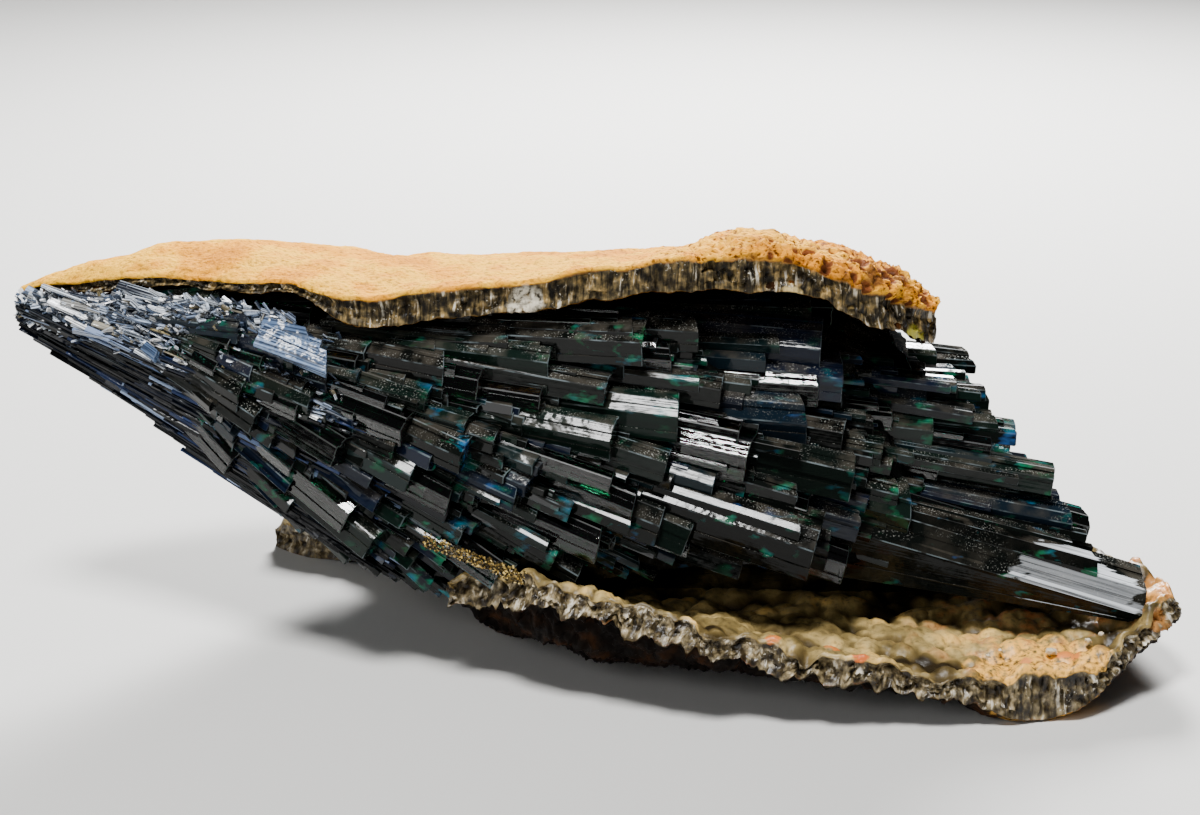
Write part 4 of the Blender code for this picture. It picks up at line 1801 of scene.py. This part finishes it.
@dataclass
class Chips:
    """Small loose chips of pale mineral that lie on the dish, each an uneven lump with flats."""

    plates: Plates
    seed: int = 8
    unevenness: Range = (0.7, 1.25)
    flatness: float = 0.7
    places: Row = (
        (64, -18.5, 1.7), (55, -19, 0.9), (69.5, -17, 1.1), (71.5, -16, 1.0), (57, -17, 0.6))

    def build(self) -> Object:
        """Lay the chips on the dish.

        Returns:
            The chips as one piece.
        """
        draw = random.Random(self.seed)
        mesh = bmesh.new()
        for x, y, size in self.places:
            ground = self.plates.on_dish(in_frame((x, y, 0)))
            chip = bmesh.ops.create_icosphere(mesh, subdivisions=1, radius=size / 2 * MM)["verts"]
            for vertex in chip:
                vertex.co *= draw.uniform(*self.unevenness)
                vertex.co.z = vertex.co.z * self.flatness + size / 4 * MM
                vertex.co += ground
        data = bpy.data.meshes.new("loose_chips")
        mesh.to_mesh(data)
        mesh.free()
        store(data, "tone", [draw.random() for _ in data.vertices])
        # Broken bits of pale mineral: cream to white and dull.
        finish = CrystalFinish("pale_mineral_chip", ((0.0, "#b9a67c"), (1.0, "#efe9dc")),
                               roughness=0.5, dust=0.0, glow=0.0, line_depth=0.0)
        piece = make_object("loose_chips", data, finish.make())
        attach(piece, BODY)
        return piece


@dataclass
class Studio:
    """Pale floor, soft lights and the camera."""

    camera_at: Vector = field(default_factory=lambda: Vector((0, -358.4, 154.4)))
    look_at: Vector = field(default_factory=lambda: Vector((0, 0, 38)))
    lens: float = 77.97
    sensor_width: float = 36.0
    nearest: float = 0.01
    lights_aim: Place = (0, 0, 0.03)
    floor_size: float = 6.0
    floor_colour: str = "#c9c8c5"
    floor_roughness: float = 0.9
    air_colour: str = "#b9bcc0"
    air_strength: float = 0.12
    lights: tuple[tuple[str, Place, float, float], ...] = (
        ("back_softbox", (0.08, 0.48, 0.34), 0.17, 12.0),
        ("top_softbox", (-0.09, -0.22, 0.77), 0.2, 12.0),
        ("front_fill", (-0.5, -0.7, 0.45), 0.4, 2.5))

    def build(self) -> None:
        """Set up everything round the specimen."""
        data = bpy.data.cameras.new("camera")
        data.lens = self.lens
        data.sensor_width, data.clip_start = self.sensor_width, self.nearest
        camera = bpy.data.objects.new("camera", data)
        camera.location = in_frame(self.camera_at)
        towards = self.look_at - self.camera_at
        camera.rotation_euler = towards.to_track_quat("-Z", "Y").to_euler()
        bpy.context.scene.collection.objects.link(camera)
        bpy.context.scene.camera = camera
        half = self.floor_size / 2
        mesh = bpy.data.meshes.new("floor")
        corners = [(-half, -half, 0), (half, -half, 0), (half, half, 0), (-half, half, 0)]
        mesh.from_pydata(corners, [], [(0, 1, 2, 3)])
        # Painted board: pale grey and matt, so the specimen's shadow stays soft.
        material = bpy.data.materials.new("pale_matt_board")
        material.use_nodes = True
        feed(material.node_tree.nodes["Principled BSDF"],
             {"Base Color": self.floor_colour, "Roughness": self.floor_roughness})
        make_object("floor", mesh, material)
        for name, place, size, power in self.lights:
            self.light(name, place, size, power)
        world = bpy.data.worlds.new("studio")
        world.use_nodes = True
        feed(world.node_tree.nodes["Background"],
             {"Color": self.air_colour, "Strength": self.air_strength})
        bpy.context.scene.world = world

    def light(self, name: str, place: Place, size: float, power: float) -> None:
        """Add a softbox that faces the specimen.

        Args:
            name: the light's name.
            place: where it hangs, in metres.
            size: its side, in metres.
            power: its power, in watts.
        """
        data = bpy.data.lights.new(name, "AREA")
        data.size = size
        data.energy = power
        lamp = bpy.data.objects.new(name, data)
        lamp.location = place
        aim = Vector(self.lights_aim) - Vector(place)
        lamp.rotation_euler = aim.to_track_quat("-Z", "Y").to_euler()
        bpy.context.scene.collection.objects.link(lamp)


def upper_plate() -> CrustPlate:
    """Describe the thin domed plate over the crystals.

    Returns:
        The plate.
    """
    # Sandy iron-stained crust: dry yellow ochre grains, a rusty right part, and pits in it,
    # darkened towards their bottom as painted shade.
    finish = CrustFinish(
        "ochre_crust",
        growth=((0.32, "#d88c18"), (0.45, "#f4a61e"), (0.56, "#ffc232"), (0.7, "#e89a24")),
        grains=((0.36, "#573b18"), (0.46, "#ece0c4"), (0.66, "#fff6e2")),
        # The break's colours, ending in near-white painted glints.
        broken=((0.39, "#0e0b07"), (0.46, "#2b2417"), (0.52, "#51462f"), (0.59, "#866f45"),
                (0.65, "#bf9f62"), (0.72, "#efe5cc")),
        stain=((0.3, "#40230f"), (0.6, "#80501f")), stained_from=(16, 40), shine=0.12,
        grain_share=0.5, rough_grain_share=0.95, columnar=0.45, column_width=0.6,
        glinting=(0.57, 0.64),
        spots=(Spot((-10.5, -2.5, 54.3), 2.8, "#d2c9b4", True, True),
               Spot((27, -2, 55), 1.8, "#c9b078", True, True),
               Spot((35, -1, 52.5), 1.6, "#b89c62", True, True),
               Spot((-35, -3, 52), 2.0, "#7d705a"),
               Spot((45.5, 4.5, 47), 2.4, "#b0a83a")))
    return CrustPlate(
        "ochre_plate", "upper_crust", "tan_crust",
        front=((-88, 20, 50), (-66, 12, 54), (-48, 4, 55), (-34, -3, 55), (-10, -4, 58),
               (10, -4, 61), (26, -2, 60), (38, -3, 56), (49, 8, 50)),
        middle=((-87, 23, 50), (-65, 26, 56), (-45, 25, 56), (-30, 22, 55), (-8, 20, 56),
                (11, 14, 58), (21, 10, 62), (41, 10, 57), (50, 14, 50)),
        back=((-83, 27, 48), (-60, 37, 48), (-44, 41, 48), (-30, 43, 47), (-5, 44, 48),
              (15, 44, 50), (30, 41, 49), (44, 34, 46), (49, 22, 45)),
        thickness=((-42, 1.8), (-34, 4.8), (14, 4.8), (22, 5.2), (32, 3.8), (38, 5.6), (43, 4.8)),
        relief=Relief.GRANULAR, finish=finish, lip=0.45, straight_down=True)


def lower_plate() -> CrustPlate:
    """Describe the shallow dish under the crystals.

    Returns:
        The plate.
    """
    # Botryoidal crust: olive-brown balls with a satin skin, tan at the right end; the hollows
    # between the balls are darkened as painted shade.
    finish = CrustFinish(
        "olive_crust",
        growth=((0.34, "#3e341b"), (0.45, "#77663c"), (0.56, "#b49c64"), (0.68, "#e4ba66")),
        grains=((0.34, "#4a3c20"), (0.46, "#e8e0d0"), (0.64, "#ffffff")),
        # Painted shade in the hollows between the balls.
        pit=((0.0, "#958253"), (0.35, "#65542f"), (0.8, "#251c0c")),
        # Painted shade: the dish's underside is kept near-black, as if in the shadow under it.
        underside=((0.4, "#060302"), (0.54, "#120a05"), (0.7, "#2e1a0a")),
        # The break's colours, ending in near-white painted glints.
        broken=((0.37, "#120d07"), (0.45, "#352b1a"), (0.52, "#665a40"), (0.59, "#958463"),
                (0.69, "#e2d9be")),
        stain=((0.3, "#a8622c"), (0.6, "#d08a50")), stained_from=(42, 66), skin="#8f7640",
        rim="#6a3c18",
        spots=(Spot((62, -23, 9), 10.5, "#f8b850", True), Spot((18, -28, 14), 1.3, "#c8642a"),
               Spot((24, -25, 13), 1.4, "#c8702e"), Spot((33, -22, 10), 1.6, "#cc7434"),
               Spot((36, -27, 11), 1.3, "#c8642a"), Spot((26.6, -27, 13), 1.7, "#cfc6ae"),
               Spot((30, -28, 12), 1.6, "#cfc6ae"), Spot((66, -19, 9), 2.6, "#d8803a"),
               Spot((80, -8, 14), 5.0, "#e09a4a", True),
               Spot((79, -13, 10), 2.6, "#a8743c"), Spot((82, -4, 11), 3.0, "#b5803f"),
               Spot((68, -22, 10), 2.0, "#e08a48"), Spot((60, -20, 8), 1.6, "#df8e4e")),
        growth_roughness=0.42, shine=0.35, columnar=0.35, glinting=(0.56, 0.62),
        grain_share=0.5, rough_grain_share=0.5, grain_relief=0.2)
    return CrustPlate(
        "olive_dish", "lower_crust", "olive_crust",
        front=((-28, -12, 17), (-8, -18, 19), (6, -24, 18), (22, -28, 14), (42, -30, 10),
               (58, -29, 8), (71, -24, 9), (82, -12, 14)),
        middle=((-19, 18, 8), (-8, 10, 8), (4, 6, 8), (20, 5, 8), (40, 3, 8),
                (57, 2, 8), (71, -2, 9), (82, -5, 14)),
        back=((-75, 42, 5), (-38, 50, 7), (0, 52, 9), (20, 51, 10), (40, 48, 12),
              (67, 39, 18), (73, 24, 12), (80, 3, 13)),
        thickness=((-60, 3.4), (-24, 5.5), (-12, 8.5), (2, 8.5), (14, 6.8), (28, 4.8), (82, 4.0)),
        relief=Relief.BOTRYOIDAL, finish=finish, ragged_share=0.045,
        left_end=(0.03, 5, 0.05, 0.7), rim_thickness=4.8, rim_waviness=0.4, lip=0.7,
        rim_lump=0.9, under_roughness=0.9, fibre_width=0.7, fibre_depth=1.5,
        edge_roughness=0.4,
        feet=((60, -18), (-50, 44), (34, 36), (-10, 12)))


def main() -> None:
    """Dress the specimen and set up the studio."""
    logging.basicConfig(level=logging.INFO, format="%(name)s: %(message)s")
    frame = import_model()
    Studio().build()
    pieces = [upper_plate().build(), lower_plate().build()]
    plates = Plates(frame["nodes"])
    pieces += [*Spray().build(plates), Chips(plates).build()]
    for piece in pieces:
        LOG.info("%s: %d faces", piece.name, len(piece.data.polygons))


if __name__ == "__main__":
    main()
